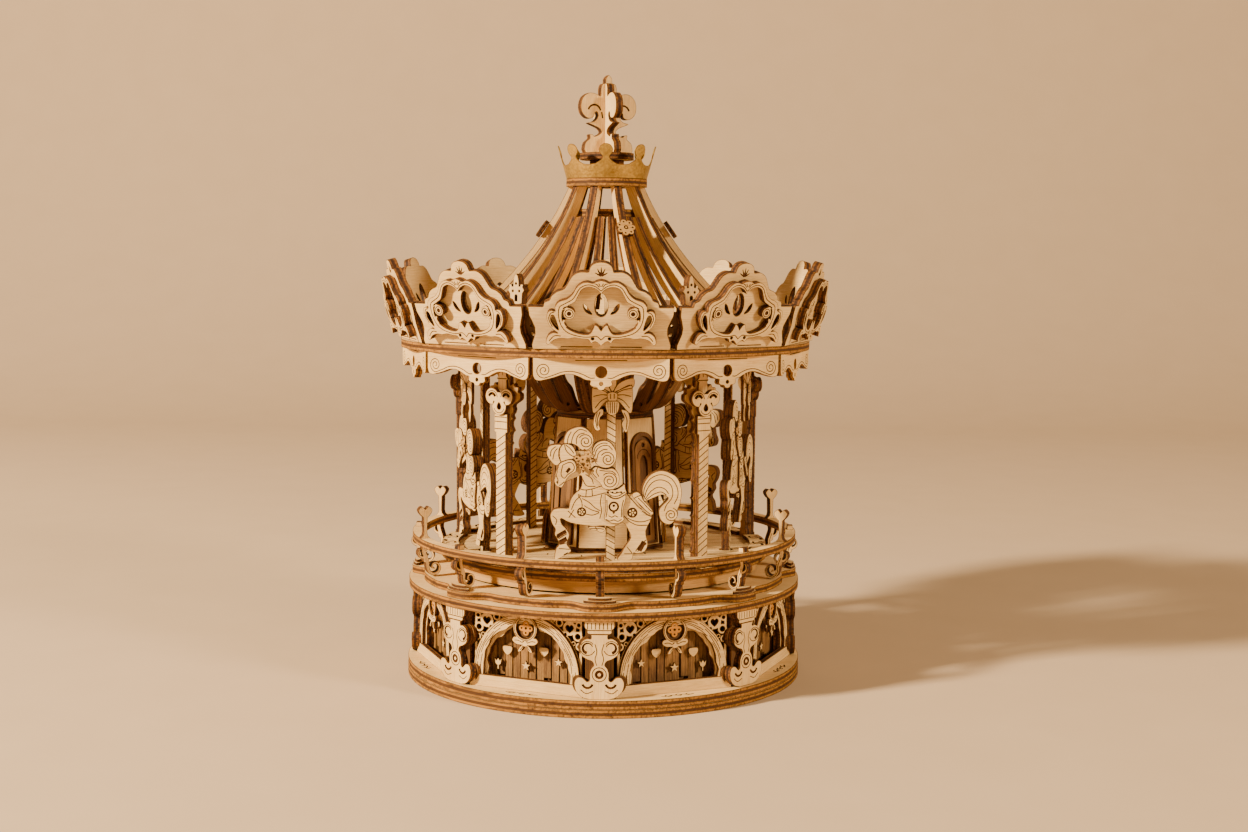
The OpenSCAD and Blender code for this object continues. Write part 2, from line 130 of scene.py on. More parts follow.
class Finish(Graph):
    """A material whose Principled shader is fed by expressions on wires."""

    def __init__(self, name, **constants):
        self.material = bpy.data.materials.new(name)
        self.material.use_nodes = True
        super().__init__(self.material.node_tree)
        self.shader = self.tree.nodes["Principled BSDF"]
        for socket, value in constants.items():
            self.shader.inputs[socket.replace("_", " ")].default_value = value

    def give(self, socket, value):
        self.feed(self.shader.inputs[socket], value)

    def stretched(self, vector, scale, detail=3.0, seed=(0, 0, 0)):
        """Noise drawn out along the grain."""
        placed = self.node("ShaderNodeMapping", {}, {"Vector": vector, "Scale": scale,
                                                     "Location": seed})
        return self.node("ShaderNodeTexNoise", {}, {"Vector": placed, "Scale": 1.0,
                                                    "Detail": detail})

    def blend(self, factor, first, second):
        """Mixes two colours."""
        return self.node("ShaderNodeMix", {"data_type": "RGBA"}, {0: factor, 6: first, 7: second},
                         out=2)

    def dent(self, height, distance, strength=1.0):
        bump = self.node("ShaderNodeBump", {}, {"Height": height, "Distance": distance,
                                                "Strength": strength})
        self.give("Normal", bump)


def bare_face(name, light, deep, stain=0.42):
    """A plywood face; the grain runs along the first coordinate, in centimetres."""
    f = Finish(name, Roughness=0.62, Specular_IOR_Level=0.3)
    flat_map = f.node("ShaderNodeUVMap", {"uv_map": "cut"})
    fibre = f.stretched(flat_map, (1.2, 26, 1))
    fleck = f.stretched(flat_map, (7, 90, 1), 2.0, (3, 7, 0))
    cloud = f.stretched(flat_map, (0.5, 1.1, 1), 2.0, (11, 5, 0))
    shade = (fibre - 0.5) * 1.9 + (fleck - 0.5) * 1.1 + (cloud - 0.5) * 1.2 + stain
    f.give("Base Color", f.blend(shade, (*light, 1), (*deep, 1)))
    f.give("Roughness", 0.55 + fibre * 0.2)
    f.dent(fibre + fleck * 0.6, 0.00006)
    return f.material


def cut_edge(name, veneer, heart, char, burn):
    """A laser-cut edge; the second coordinate runs across the sheet's thickness."""
    f = Finish(name, Roughness=0.7, Specular_IOR_Level=0.25)
    flat_map = f.node("ShaderNodeUVMap", {"uv_map": "cut"})
    depth = f.node("ShaderNodeSeparateXYZ", {}, {0: flat_map}, out=1)
    wander = f.stretched(flat_map, (6, 0.01, 1), 2.0)
    layer = depth + (wander - 0.5) * 0.09
    glue = tuple(c * 0.3 for c in heart)
    dawn = tuple(c * 1.45 for c in veneer)
    stops = [(0.0, glue), (0.06, veneer), (0.2, dawn), (0.34, veneer), (0.37, glue), (0.42, heart),
             (0.6, heart), (0.64, glue), (0.69, veneer), (0.82, dawn), (0.94, veneer), (1.0, glue)]
    band = f.node("ShaderNodeValToRGB", {"stops": stops}, {0: layer})
    fibre = f.stretched(flat_map, (34, 3, 1), 3.0)
    speck = f.stretched(flat_map, (13, 2.2, 1), 2.0, (2, 4, 0))
    patch = f.stretched(flat_map, (2.6, 1.4, 1), 3.0, (5, 9, 0))
    soot = (patch - 0.5) * 1.8 + (speck - 0.5) * 2.2 + (fibre - 0.5) * 1.1 + burn
    f.give("Base Color", f.blend(soot, band, (*char, 1)))
    f.dent(fibre + speck + layer * 0.5, 0.00014)
    return f.material


pale_face = bare_face("bare basswood", (0.80, 0.565, 0.265), (0.56, 0.34, 0.125), 0.46)
warm_face = bare_face("toasted basswood", (0.54, 0.315, 0.105), (0.29, 0.14, 0.036))
weathered_face = bare_face("weathered planks", (0.38, 0.195, 0.058), (0.075, 0.028, 0.007), 0.55)
umber_face = bare_face("umber basswood", (0.27, 0.125, 0.035), (0.09, 0.034, 0.008))
amber_face = bare_face("amber stain", (0.60, 0.27, 0.04), (0.36, 0.13, 0.015))
dark_face = bare_face("smoked basswood", (0.15, 0.065, 0.017), (0.045, 0.018, 0.005))
toast_edge = cut_edge("toasted edge", (0.28, 0.122, 0.02), (0.085, 0.03, 0.005),
                      (0.045, 0.015, 0.003), 0.24)
char_edge = cut_edge("charred edge", (0.17, 0.062, 0.01), (0.06, 0.019, 0.0035),
                     (0.016, 0.0055, 0.002), 0.42)


def burnt_line(name, shade):
    f = Finish(name, Roughness=0.85, Specular_IOR_Level=0.15)
    flat_map = f.node("ShaderNodeUVMap", {"uv_map": "cut"})
    ash = f.stretched(flat_map, (18, 18, 1), 3.0)
    f.give("Base Color", f.blend(ash, (*shade, 1), (*[c * 0.4 for c in shade], 1)))
    return f.material


scored = burnt_line("engraved line", (0.115, 0.038, 0.009))
scorched = burnt_line("scorched lip", (0.22, 0.095, 0.022))
BIRCH = (pale_face, toast_edge, scored)
LACE = (pale_face, char_edge, scored)
TOAST = (warm_face, char_edge, scored)
UMBER = (umber_face, char_edge, scored)
SMOKE = (dark_face, char_edge, scored)
AMBER = (amber_face, char_edge, scored)

# Levels of a cut sheet: nothing, the bare face, a scored line and a burnt hollow
GAP, FACE, SCORE, HOLLOW = 0, 1, 2, 3
SINK = {FACE: 0.0, SCORE: 0.14, HOLLOW: 0.4}
LIP, LIP_DROP = 0.17, 0.05


def circle(x, y, r, n=28, squash=1.0):
    return [(x + r * math.cos(a), y + r * squash * math.sin(a)) for a in np.arange(n)
            * (2 * math.pi / n)]


def arc(x, y, r, start, end, n=12):
    return [(x + r * math.cos(a), y + r * math.sin(a))
            for a in np.radians(np.linspace(start, end, n))]


def coil(x, y, outer, inner, start, turns, n=26):
    """A spiral from its outer end to its inner end; negative turns run clockwise."""
    t = np.linspace(0, 1, n)
    radius, angle = outer + (inner - outer) * t, math.radians(start) + turns * 2 * math.pi * t
    return [(x + r * math.cos(a), y + r * math.sin(a)) for r, a in zip(radius, angle)]


def smooth(points, closed=False, n=5):
    """A curve through the points (Catmull-Rom)."""
    p = [np.array(q, float) for q in points]
    ends = p if closed else [2 * p[0] - p[1]] + p + [2 * p[-1] - p[-2]]
    count = len(p) if closed else len(p) - 1
    out = []
    for i in range(count):
        a, b, c, d = [ends[(i + k - (1 if closed else 0)) % len(ends)] for k in range(4)]
        for t in np.arange(n) / n:
            out.append(tuple(0.5 * (2 * b + (c - a) * t + (2 * a - 5 * b + 4 * c - d) * t * t
                                    + (3 * b - a - 3 * c + d) * t ** 3)))
    return out if closed else out + [tuple(p[-1])]


def flip(path):
    return [(-x, y) for x, y in reversed(path)]


def twice(half):
    """Closes a right-hand half outline with its mirror image."""
    return half + flip(half)


def moved(path, dx=0.0, dy=0.0, turn=0.0, scale=1.0):
    c, s = math.cos(math.radians(turn)) * scale, math.sin(math.radians(turn)) * scale
    return [(x * c - y * s + dx, x * s + y * c + dy) for x, y in path]


def box(x0, y0, x1, y1):
    return [(x0, y0), (x1, y0), (x1, y1), (x0, y1)]


def stroke(path, width, taper=False):
    """The outline of a line drawn along a path; a tapered one thins out at its end."""
    p = np.array(path, float)
    along = np.gradient(p, axis=0)
    along /= np.maximum(np.linalg.norm(along, axis=1, keepdims=True), 1e-9)
    side = np.stack([-along[:, 1], along[:, 0]], 1)
    half = np.full((len(p), 1), width / 2)
    if taper:
        half *= np.linspace(1, 0.25, len(p))[:, None]
    return [tuple(q) for q in p + side * half] + [tuple(q) for q in (p - side * half)[::-1]]


def marks(level, *outlines):
    return [(level, outline) for outline in outlines]


def lines(width, *paths):
    return [(SCORE, stroke(path, width)) for path in paths]


def both(shapes):
    """The shapes and their mirror images."""
    return shapes + [(level, flip(outline)) for level, outline in shapes]


def winding(points, outline):
    """How many times the outline runs round each point."""
    o = np.array(outline)
    n = np.roll(o, -1, 0)
    x, y = points[:, :1], points[:, 1:]
    side = (n[:, 0] - o[:, 0]) * (y - o[:, 1]) - (x - o[:, 0]) * (n[:, 1] - o[:, 1])
    rising = (o[:, 1] <= y) & (n[:, 1] > y) & (side > 0)
    falling = (o[:, 1] > y) & (n[:, 1] <= y) & (side < 0)
    return rising.sum(1) - falling.sum(1)


class Sheet:
    """One laser-cut sheet. Shapes are (level, outline) pairs and the last one that covers a spot
    decides its level, but lines and hollows only mark wood that is there."""

    def __init__(self, shapes, thick, woods=BIRCH, floor=0.0, grain=0.0, guides=(), lip=LIP):
        points, edges, self.lip = [], [], lip
        for _, outline in shapes:
            first, n = len(points), len(outline)
            points += [Vector(q) for q in outline]
            edges += [(first + i, first + (i + 1) % n) for i in range(n)]
        for path in guides:
            first = len(points)
            points += [Vector(q) for q in path]
            edges += [(first + i, first + i + 1) for i in range(len(path) - 1)]
        found, _, cells, *_ = delaunay_2d_cdt(points, edges, [], 0, 1e-5)
        flat = np.array([tuple(v) for v in found])
        cells = np.array(cells)
        a, b, c = flat[cells[:, 0]], flat[cells[:, 1]], flat[cells[:, 2]]
        area = np.cross(b - a, c - a)
        cells = np.where(area[:, None] < 0, cells[:, ::-1], cells)[abs(area) > 1e-7]
        middle = flat[cells].mean(1)
        level = np.zeros(len(cells), int)
        for mark, outline in shapes:
            here = winding(middle, outline) != 0
            level[here & ((level > 0) | (mark < SCORE))] = mark
        cells, level = cells[level > 0], level[level > 0]
        self.build(flat, cells, level, thick, floor, math.radians(grain))
        self.woods = woods

    def build(self, flat, cells, level, thick, floor, grain):
        height = {0: floor, **{k: floor + thick - sink for k, sink in SINK.items()}}
        index, self.verts, self.faces, self.kinds, self.maps = {}, [], [], [], []
        spin = np.array([[math.cos(grain), -math.sin(grain)],
                         [math.sin(grain), math.cos(grain)]]) * 0.1
        owner, inward = {}, np.zeros((len(flat), 2))
        for cell, k in zip(cells.tolist(), level.tolist()):
            for i in range(3):
                owner[cell[i], cell[(i + 1) % 3]] = k
        rims = [edge for edge in owner if edge[::-1] not in owner]
        for v, w in rims:
            run = flat[w] - flat[v]
            for q in (v, w):
                inward[q] += np.array((-run[1], run[0])) / max(np.hypot(*run), 1e-9)
        reach = np.linalg.norm(inward, axis=1, keepdims=True)
        inner = flat + inward / np.maximum(reach, 1e-9) * self.lip
        face_map = flat @ spin

        def corner(v, k, lip=False):
            if (v, k, lip) not in index:
                index[v, k, lip] = len(self.verts)
                drop = (LIP_DROP if k else -LIP_DROP) if lip else 0
                self.verts.append((*(flat if lip else inner)[v], height[k] - drop))
            return index[v, k, lip]

        def quad(kind, corners, maps):
            self.faces.append(corners)
            self.kinds.append(kind)
            self.maps += maps

        for cell, k in zip(cells.tolist(), level.tolist()):
            quad(0 if k == FACE else 2, [corner(v, k) for v in cell], [face_map[v] for v in cell])
            quad(0, [corner(v, 0) for v in reversed(cell)], [face_map[v] for v in reversed(cell)])
        for (v, w), k in owner.items():
            rim = (w, v) not in owner
            other = owner.get((w, v), 0)
            if height[k] <= height[other]:
                continue
            run = [(flat[q][0] * 0.8 + flat[q][1]) * 0.1 for q in (v, w)]
            low, high = [(height[q] - floor) / thick for q in (other, k)]
            side = [(run[0], low), (run[1], low), (run[1], high), (run[0], high)]
            quad(1 if rim else 2, [corner(v, other, rim), corner(w, other, rim), corner(w, k, rim),
                                   corner(v, k, rim)], side)
            if rim:
                quad(3, [corner(v, k, True), corner(w, k, True), corner(w, k), corner(v, k)], side)
                quad(3, [corner(v, 0), corner(w, 0), corner(w, 0, True), corner(v, 0, True)], side)
        self.verts = np.array(self.verts)

    def warped(self, bend):
        """The sheet with its points carried through a function of x, y, z arrays."""
        copy = object.__new__(Sheet)
        copy.__dict__.update(self.__dict__)
        copy.verts = np.stack(bend(*self.verts.T), 1)
        return copy


def facing(turn, radius, height=0.0, lean=0.0):
    """Stands a sheet up with its face turned away from the axis, leaning outwards."""
    a, b = math.radians(turn), math.radians(lean)
    out = np.array((math.sin(a), -math.cos(a), 0))
    side = np.array((math.cos(a), math.sin(a), 0))
    lift = np.array((0, 0, 1))
    m = np.eye(4)
    m[:3, 0] = side
    m[:3, 1] = lift * math.cos(b) + out * math.sin(b)
    m[:3, 2] = out * math.cos(b) - lift * math.sin(b)
    m[:3, 3] = out * radius + lift * height
    return m


def spoke(turn, thick, aside=0.0):
    """Stands a sheet of (radius, height) points up in a plane through the axis."""
    a = math.radians(turn)
    m = np.eye(4)
    m[:3, 0] = (math.sin(a), -math.cos(a), 0)
    m[:3, 1] = (0, 0, 1)
    m[:3, 2] = (-math.cos(a), -math.sin(a), 0)
    m[:3, 3] = m[:3, 2] * (aside - thick / 2)
    return m


def lying(height, turn=0.0):
    a = math.radians(turn)
    m = np.eye(4)
    m[:2, :2] = [[math.cos(a), -math.sin(a)], [math.sin(a), math.cos(a)]]
    m[2, 3] = height
    return m


def copies_around():
    """Lays copies of a piece round the axis, each from another spot of the board, and burns its lips."""
    tree = bpy.data.node_groups.new("copies around", "GeometryNodeTree")
    for name, kind in (("Piece", "Geometry"), ("Copies", "Int"), ("First", "Float"),
                       ("Board", "Float"), ("Seed", "Int"), ("Burn", "Material")):
        tree.interface.new_socket(name, in_out="INPUT", socket_type="NodeSocket" + kind)
    tree.interface.new_socket("Piece", in_out="OUTPUT", socket_type="NodeSocketGeometry")
    g = Graph(tree)
    given = tree.nodes.new("NodeGroupInput")
    wires = {socket.name: Wire(g, socket) for socket in given.outputs}
    index = g.node("GeometryNodeInputIndex")
    angle = index / wires["Copies"] * (2 * math.pi) + wires["First"]
    spin = g.node("ShaderNodeCombineXYZ", {}, {2: angle})
    spots = g.node("GeometryNodePoints", {}, {0: wires["Copies"]})
    laid = g.node("GeometryNodeInstanceOnPoints", {}, {0: spots, 2: wires["Piece"], 5: spin})
    pick = g.node("FunctionNodeRandomValue", {"data_type": "FLOAT"},
                  {3: wires["Board"], 7: index, 8: wires["Seed"]}, out=1)
    laid = g.node("GeometryNodeStoreNamedAttribute", {"data_type": "FLOAT", "domain": "INSTANCE"},
                  {0: laid, 2: "board", 3: pick})
    whole = g.node("GeometryNodeRealizeInstances", {}, {0: laid})
    grain = g.node("GeometryNodeInputNamedAttribute", {"data_type": "FLOAT_VECTOR"}, {0: "cut"})
    board = g.node("GeometryNodeInputNamedAttribute", {"data_type": "FLOAT"}, {0: "board"})
    slid = g.node("ShaderNodeVectorMath", {"operation": "ADD"},
                  {0: grain, 1: g.node("ShaderNodeCombineXYZ", {}, {0: board})})
    whole = g.node("GeometryNodeStoreNamedAttribute", {"data_type": "FLOAT2", "domain": "CORNER"},
                   {0: whole, 2: "cut", 3: slid})
    whole = g.node("GeometryNodeRemoveAttribute", {}, {0: whole, 1: "board"})
    burnt = g.node("GeometryNodeInputNamedAttribute", {"data_type": "BOOLEAN"}, {0: "lip"})
    whole = g.node("GeometryNodeSetMaterial", {}, {0: whole, 1: burnt, 2: wires["Burn"]})
    g.node("NodeGroupOutput", {}, {0: whole})
    return tree


def grown(thing, tree, **sizes):
    """Runs a Geometry Nodes tree on an object and keeps the result as its plain mesh."""
    modifier = thing.modifiers.new(tree.name, "NODES")
    modifier.node_group = tree
    for item in tree.interface.items_tree:
        if item.in_out == "INPUT" and item.name in sizes:
            modifier[item.identifier] = sizes[item.name]
    depsgraph = bpy.context.evaluated_depsgraph_get()
    result = thing.evaluated_get(depsgraph)
    mesh = bpy.data.meshes.new_from_object(result, preserve_all_data_layers=True,
                                           depsgraph=depsgraph)
    thing.modifiers.remove(modifier)
    thing.data = mesh


board_copies = copies_around()


class Piece:
    """Sheets at their places, copied round the axis and joined into one object in the end."""

    def __init__(self, name):
        self.name, self.woods = name, []
        self.verts, self.faces, self.kinds, self.maps, self.lips = [], [], [], [], []
        self.count, self.draw = 0, random.Random(name)

    def lay(self, sheet, *places):
        for m in places:
            placed = sheet.verts @ m[:3, :3].T + m[:3, 3]
            self.verts.append(placed * 0.001)
            self.faces += [[v + self.count for v in face] for face in sheet.faces]
            self.count += len(placed)
            for wood in sheet.woods:
                if wood not in self.woods:
                    self.woods.append(wood)
            slots = [self.woods.index(wood) for wood in (*sheet.woods, sheet.woods[0])]
            self.kinds += [slots[kind] for kind in sheet.kinds]
            self.lips += [kind == 3 for kind in sheet.kinds]
            shift = np.array((self.draw.uniform(0, 40), 0))
            self.maps.append(np.array(sheet.maps) + shift)
        return self

    def done(self, body, slot, *nodes, copies=1, first=0.0, extra=None):
        mesh = bpy.data.meshes.new(self.name)
        mesh.from_pydata(np.concatenate(self.verts).tolist(), [], self.faces)
        for wood in self.woods:
            mesh.materials.append(wood)
        mesh.polygons.foreach_set("material_index", self.kinds)
        layer = mesh.uv_layers.new(name="cut")
        layer.data.foreach_set("uv", np.concatenate(self.maps).ravel())
        mesh.attributes.new("lip", "BOOLEAN", "FACE").data.foreach_set("value", self.lips)
        mesh.update()
        thing = bpy.data.objects.new(self.name, mesh)
        scene.collection.objects.link(thing)
        if extra:
            grown(thing, extra[0], **extra[1])
        grown(thing, board_copies, Copies=copies, First=math.radians(first), Board=40.0,
              Seed=len(self.name), Burn=scorched)
        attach(thing, body)
        if nodes:
            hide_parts(*nodes)
        return thing


def turns(count, first=0.0):
    return [first + i * 360 / count for i in range(count)]


# ---- Bottom discs --------------------------------------------------------------
# Two round discs of plywood, one glued on the other, carry the drum. The lower
# one rests on the table; the upper one has a small burnt flourish at each bay.

base_r, base_disc, recess_r = 77.0, 3.2, 14.0
wall_z = 2 * base_disc
bay_turns = turns(8, 22.5)


def flourish():
    wave = smooth([(-6.4, 0.3), (-4.2, -0.5), (-2, 0.5), (0, -0.2), (2, 0.5), (4.2, -0.5),
                   (6.4, 0.3)])
    leaves = [stroke(smooth([(x, 0), (x + 0.9, 1.0), (x + 2.2, 1.2)]), 0.7, True)
              for x in (-5, -1, 3)]
    drops = [stroke(smooth([(x, 0), (x - 0.9, -0.9), (x - 2, -1)]), 0.6, True)
             for x in (-2.4, 1.4, 4.6)]
    return marks(HOLLOW, stroke(wave, 0.5), *leaves, *drops)


lower = Sheet(marks(FACE, circle(0, 0, base_r, 240)) + marks(GAP, circle(0, 0, recess_r, 60)),
              base_disc - 0.1)
Piece("lower_disc").lay(lower, lying(0)).done("base", "plywood", "base_plate_lower")
shapes = marks(FACE, circle(0, 0, base_r - 0.1, 240)) + marks(GAP, circle(0, 0, recess_r, 60))
for turn in bay_turns:
    for level, outline in flourish():
        shapes.append((level, moved(moved(outline, 0, -73.2), turn=turn)))
Piece("upper_disc").lay(Sheet(shapes, base_disc), lying(base_disc)).done("base", "plywood",
        "base_plate_upper")

# ---- Arcade --------------------------------------------------------------------
# Eight flat walls stand on the discs. Each has a round arch under a rustic band
# of wood, corners pierced with rings and hearts, a sill rail, and a fence of
# planks behind it with small charms hung on it.

ply, thin = 3.0, 2.0
panel_r, drum_h, sill_h, spring_h = 68.0, 28.1, 4.3, 6.9
top_z = wall_z + drum_h
sill_z, arch_z = wall_z + sill_h, wall_z + spring_h


def rustic_arc(radius, sway, seed, start=0, end=180, n=64):
    draw = random.Random(seed)
    phase = [draw.uniform(0, 6.3) for _ in range(3)]
    out = []
    for a in np.radians(np.linspace(start, end, n)):
        r = radius + sway * (math.sin(7 * a + phase[0]) + 0.6 * math.sin(13 * a + phase[1])
                             + 0.4 * math.sin(23 * a + phase[2]))
        out.append((r * math.cos(a), arch_z + r * math.sin(a)))
    return out


def heart(x, y, size, tip=-1.0):
    """A heart whose lobes are at y and whose tip points down, or up for tip=1."""
    half = smooth([(0, tip * -0.35), (0.45, tip * -0.75), (0.95, tip * -0.3), (0.7, tip * 0.35),
                   (0, tip)])
    return moved(half + [(-px, py) for px, py in reversed(half[1:-1])], x, y, 0, size)


half_wall, half_sill = 21.4, 22.6
corner_gap = arc(0, arch_z, 21.3, 17, 68, 16) + [(8.4, top_z - 0.9), (20.4, top_z - 0.9)]
wall_shapes = marks(FACE, box(-half_wall, wall_z, half_wall, top_z))
wall_shapes += marks(GAP, rustic_arc(16.2, 0.35, 4) + [(-16.4, wall_z + 1.5), (16.4, wall_z + 1.5)])
wall_shapes += both(marks(GAP, corner_gap))
rings = [(12.5, 32.2, 1.6, 0.8), (16.5, 30.5, 2.7, 0), (20.1, 32.0, 1.4, 0.6),
         (19.7, 27.8, 1.9, 1.0), (20.3, 24.2, 1.5, 0.7), (14.9, 28.2, 1.1, 0.5),
         (9.9, 33.0, 1.1, 0.5), (18.1, 25.2, 0.9, 0.4)]
wall_shapes += both(marks(FACE, *[circle(x, z, r, 22) for x, z, r, _ in rings]))
wall_shapes += both(marks(FACE, stroke([(13, 33.5), (17, 33.0), (21, 33.5)], 0.8)))
wall_shapes += both(marks(GAP, *[circle(x, z, r, 16) for x, z, _, r in rings if r]))
wall_shapes += both(marks(GAP, heart(16.5, 30.5, 1.6)))
walls = Piece("arcade_walls").lay(Sheet(wall_shapes, ply, LACE, grain=90), facing(0, panel_r - ply))
walls.done("base", "plywood", "arch_panels", copies=8, first=22.5)

legs = [(-20.9, sill_z), (-17.3, sill_z)], [(17.3, sill_z), (20.9, sill_z)]
band_shapes = marks(FACE, arc(0, arch_z, 20.9, 0, 180, 40) + legs[0] + rustic_arc(17.4, 0.3,
        9)[::-1] + legs[1])
band_shapes += both(lines(0.28, [(18.4, sill_z + 0.4), (18.6, arch_z + 1)],
                          [(19.7, sill_z + 0.2), (19.5, arch_z + 2)]))
for i, radius in enumerate((18.2, 18.8, 19.5, 20.2)):
    for start in range(4 + 9 * i, 170, 40):
        band_shapes += lines(0.28, rustic_arc(radius, 0.08, 20 + i, start, start + 30, 16))
rustic_bands = Piece("arch_bands").lay(Sheet(band_shapes, 1.5, LACE), facing(0, panel_r))
rustic_bands.done("base", "plywood", copies=8, first=22.5)

sill = Sheet(marks(FACE, box(-half_sill, wall_z, half_sill, sill_z)), thin, LACE)
Piece("sills").lay(sill, facing(0, panel_r)).done("base", "thin_plywood", "sill_rails", copies=8,
                                                  first=22.5)


def plank_row():
    """A row of upright planks of uneven depth that reach down unevenly, in metres."""
    tree = bpy.data.node_groups.new("plank row", "GeometryNodeTree")
    for name, kind in (("Piece", "Geometry"), ("Planks", "Int"), ("Spacing", "Float"),
                       ("Width", "Float"), ("Low", "Float"), ("High", "Float"), ("Back", "Float"),
                       ("Seed", "Int"), ("Wood", "Material")):
        tree.interface.new_socket(name, in_out="INPUT", socket_type="NodeSocket" + kind)
    tree.interface.new_socket("Piece", in_out="OUTPUT", socket_type="NodeSocketGeometry")
    g = Graph(tree)
    given = tree.nodes.new("NodeGroupInput")
    size = {socket.name: Wire(g, socket) for socket in given.outputs}
    index = g.node("GeometryNodeInputIndex")

    def chance(low, high, salt):
        return g.node("FunctionNodeRandomValue", {"data_type": "FLOAT"},
                      {2: low, 3: high, 7: index, 8: size["Seed"] + salt}, out=1)

    foot = size["Low"] + chance(0.0, 0.0045, 1)
    proud = chance(0.0008, 0.0024, 2)
    x = (index - (size["Planks"] - 1) / 2) * size["Spacing"]
    middle = g.node("ShaderNodeCombineXYZ", {}, {0: x, 1: 0 - size["Back"] - proud / 2,
                                                 2: (foot + size["High"]) / 2})
    extent = g.node("ShaderNodeCombineXYZ", {},
                    {0: size["Width"], 1: proud, 2: size["High"] - foot})
    spots = g.node("GeometryNodePoints", {}, {0: size["Planks"], 1: middle})
    cube = g.node("GeometryNodeMeshCube")
    laid = g.node("GeometryNodeInstanceOnPoints", {}, {0: spots, 2: cube, 6: extent})
    laid = g.node("GeometryNodeStoreNamedAttribute", {"data_type": "FLOAT", "domain": "INSTANCE"},
                  {0: laid, 2: "log", 3: chance(0.0, 40.0, 3)})
    whole = g.node("GeometryNodeRealizeInstances", {}, {0: laid})
    log = g.node("GeometryNodeInputNamedAttribute", {"data_type": "FLOAT"}, {0: "log"})
    where = g.node("GeometryNodeInputPosition")
    wide, high = [g.node("ShaderNodeSeparateXYZ", {}, {0: where}, out=k) * 100 for k in (0, 2)]
    cut = g.node("ShaderNodeCombineXYZ", {}, {0: high + log, 1: wide})
    whole = g.node("GeometryNodeStoreNamedAttribute", {"data_type": "FLOAT2", "domain": "CORNER"},
                   {0: whole, 2: "cut", 3: cut})
    whole = g.node("GeometryNodeRemoveAttribute", {}, {0: whole, 1: "log"})
    whole = g.node("GeometryNodeSetMaterial", {}, {0: whole, 2: size["Wood"]})
    joined = g.node("GeometryNodeJoinGeometry")
    tree.links.new(whole.socket, joined.socket.node.inputs[0])
    tree.links.new(size["Piece"].socket, joined.socket.node.inputs[0])
    g.node("NodeGroupOutput", {}, {0: joined})
    return tree


back_board = Sheet(marks(FACE, box(-21, wall_z, 21, top_z)), 0.6, SMOKE, grain=90)
planks = {"Planks": 13, "Spacing": 0.0031, "Width": 0.0027, "Low": wall_z / 1000,
          "High": (top_z - 0.2) / 1000, "Back": (panel_r - 2 * ply + 0.6) / 1000, "Seed": 3,
          "Wood": weathered_face}
fence = Piece("plank_fence").lay(back_board, facing(0, panel_r - 2 * ply))
fence.done("base", "charred_plywood", "plank_backdrops", copies=8, first=22.5,
           extra=(plank_row(), planks))


def star(x, y, size, points=5):
    reach = [size if i % 2 == 0 else size * 0.45 for i in range(2 * points)]
    return [(x + r * math.sin(math.pi * i / points), y + r * math.cos(math.pi * i / points))
            for i, r in enumerate(reach)]


shield = smooth([(-1.8, 1.3), (0, 1.6), (1.8, 1.3), (1.7, -0.4), (0, -1.9), (-1.7, -0.4)], True)
tulip = [(-1.4, 1.4), (-0.7, 0.5), (0, 1.5), (0.7, 0.5), (1.4, 1.4), (1.1, -0.6), (0.3, -1.2),
         (0.3, -2.6), (-0.3, -2.6), (-0.3, -1.2), (-1.1, -0.6)]
charms = Piece("hung_charms")
for turn, side in ((22.5, -1), (67.5, 1)):
    motifs = [moved(shield, 5.6 * side, 20.6), moved(shield, -9 * side, 19.8),
              star(11.4 * side, 17.2, 1.7), moved(tulip, -12.8 * side, 15.0),
              star(-1.6 * side, 14.6, 1.9), heart(-4.4 * side, 24.2, 1.3)]
    charms.lay(Sheet(marks(FACE, *motifs), 0.9, LACE), facing(turn, panel_r - ply + 0.4))
charms.done("base", "thin_plywood", copies=4)

# ---- Pillars and medallions ------------------------------------------------------
# A carved pillar covers each corner of the drum: a smoked backing plate and a
# pale front plate with a fluted capital, two volutes, a ring and a broad foot.
# A round medallion with a ribbon hangs at the crown of each arch.

pillar_r = 69.4
pillar_half = [(0, wall_z), (3.4, wall_z), (6.2, 7.3), (8.2, 9.4), (8.8, 12.2), (7.9, 14.2),
               (6, 14.3), (4.4, 12.9), (3.4, 13.4), (3.4, 15.6), (2.8, 17.6), (1.9, 18.8),
               (2.6, 20.2), (4.4, 20.9), (6.4, 22.4), (6.9, 24.8), (6.2, 27.2), (4.4, 28.3),
               (3.0, 28.2), (3.0, 29.6), (4.2, 30.2), (4.4, 31.4), (5.2, 32.2), (5.3, top_z - 0.05),
               (0, top_z - 0.05)]
pillar_edge = twice([pillar_half[0]] + smooth(pillar_half[1:-1], n=3) + [pillar_half[-1]])
volute = stroke(arc(4.1, 24.9, 1.75, -80, 165, 16), 1.15, True)
smile = stroke(arc(4.1, 12.4, 1.8, 195, 345, 12), 0.85)
front = marks(FACE, pillar_edge) + both(marks(HOLLOW, volute, smile)) + marks(HOLLOW,
        circle(0, 15.4, 1.6, 20))
front += marks(FACE, circle(0, 15.4, 0.6, 12))
front += lines(0.34, arc(0, 15.4, 2.5, 0, 360, 26), [(-4.4, 31.2), (4.4, 31.2)],
               [(-3.6, 29.7), (3.6, 29.7)])
front += both(lines(0.32, coil(4.2, 24.9, 2.7, 2.4, 200, 0.85, 20),
                    *[[(x, 31.6), (x, 33.9)] for x in (1.4, 2.8, 4.2)],
                    smooth([(0.9, 18.6), (1.5, 21), (0.9, 23.6), (1.6, 26.4)]),
                    smooth([(2.2, 9.4), (4.6, 8.6), (6.6, 10)])))
front += lines(0.32, [(0, 31.6), (0, 33.9)])
backing = marks(FACE, [(math.copysign(max(abs(x) * 1.1, 5.0), x) if x else 0, y) for x,
                       y in pillar_edge])
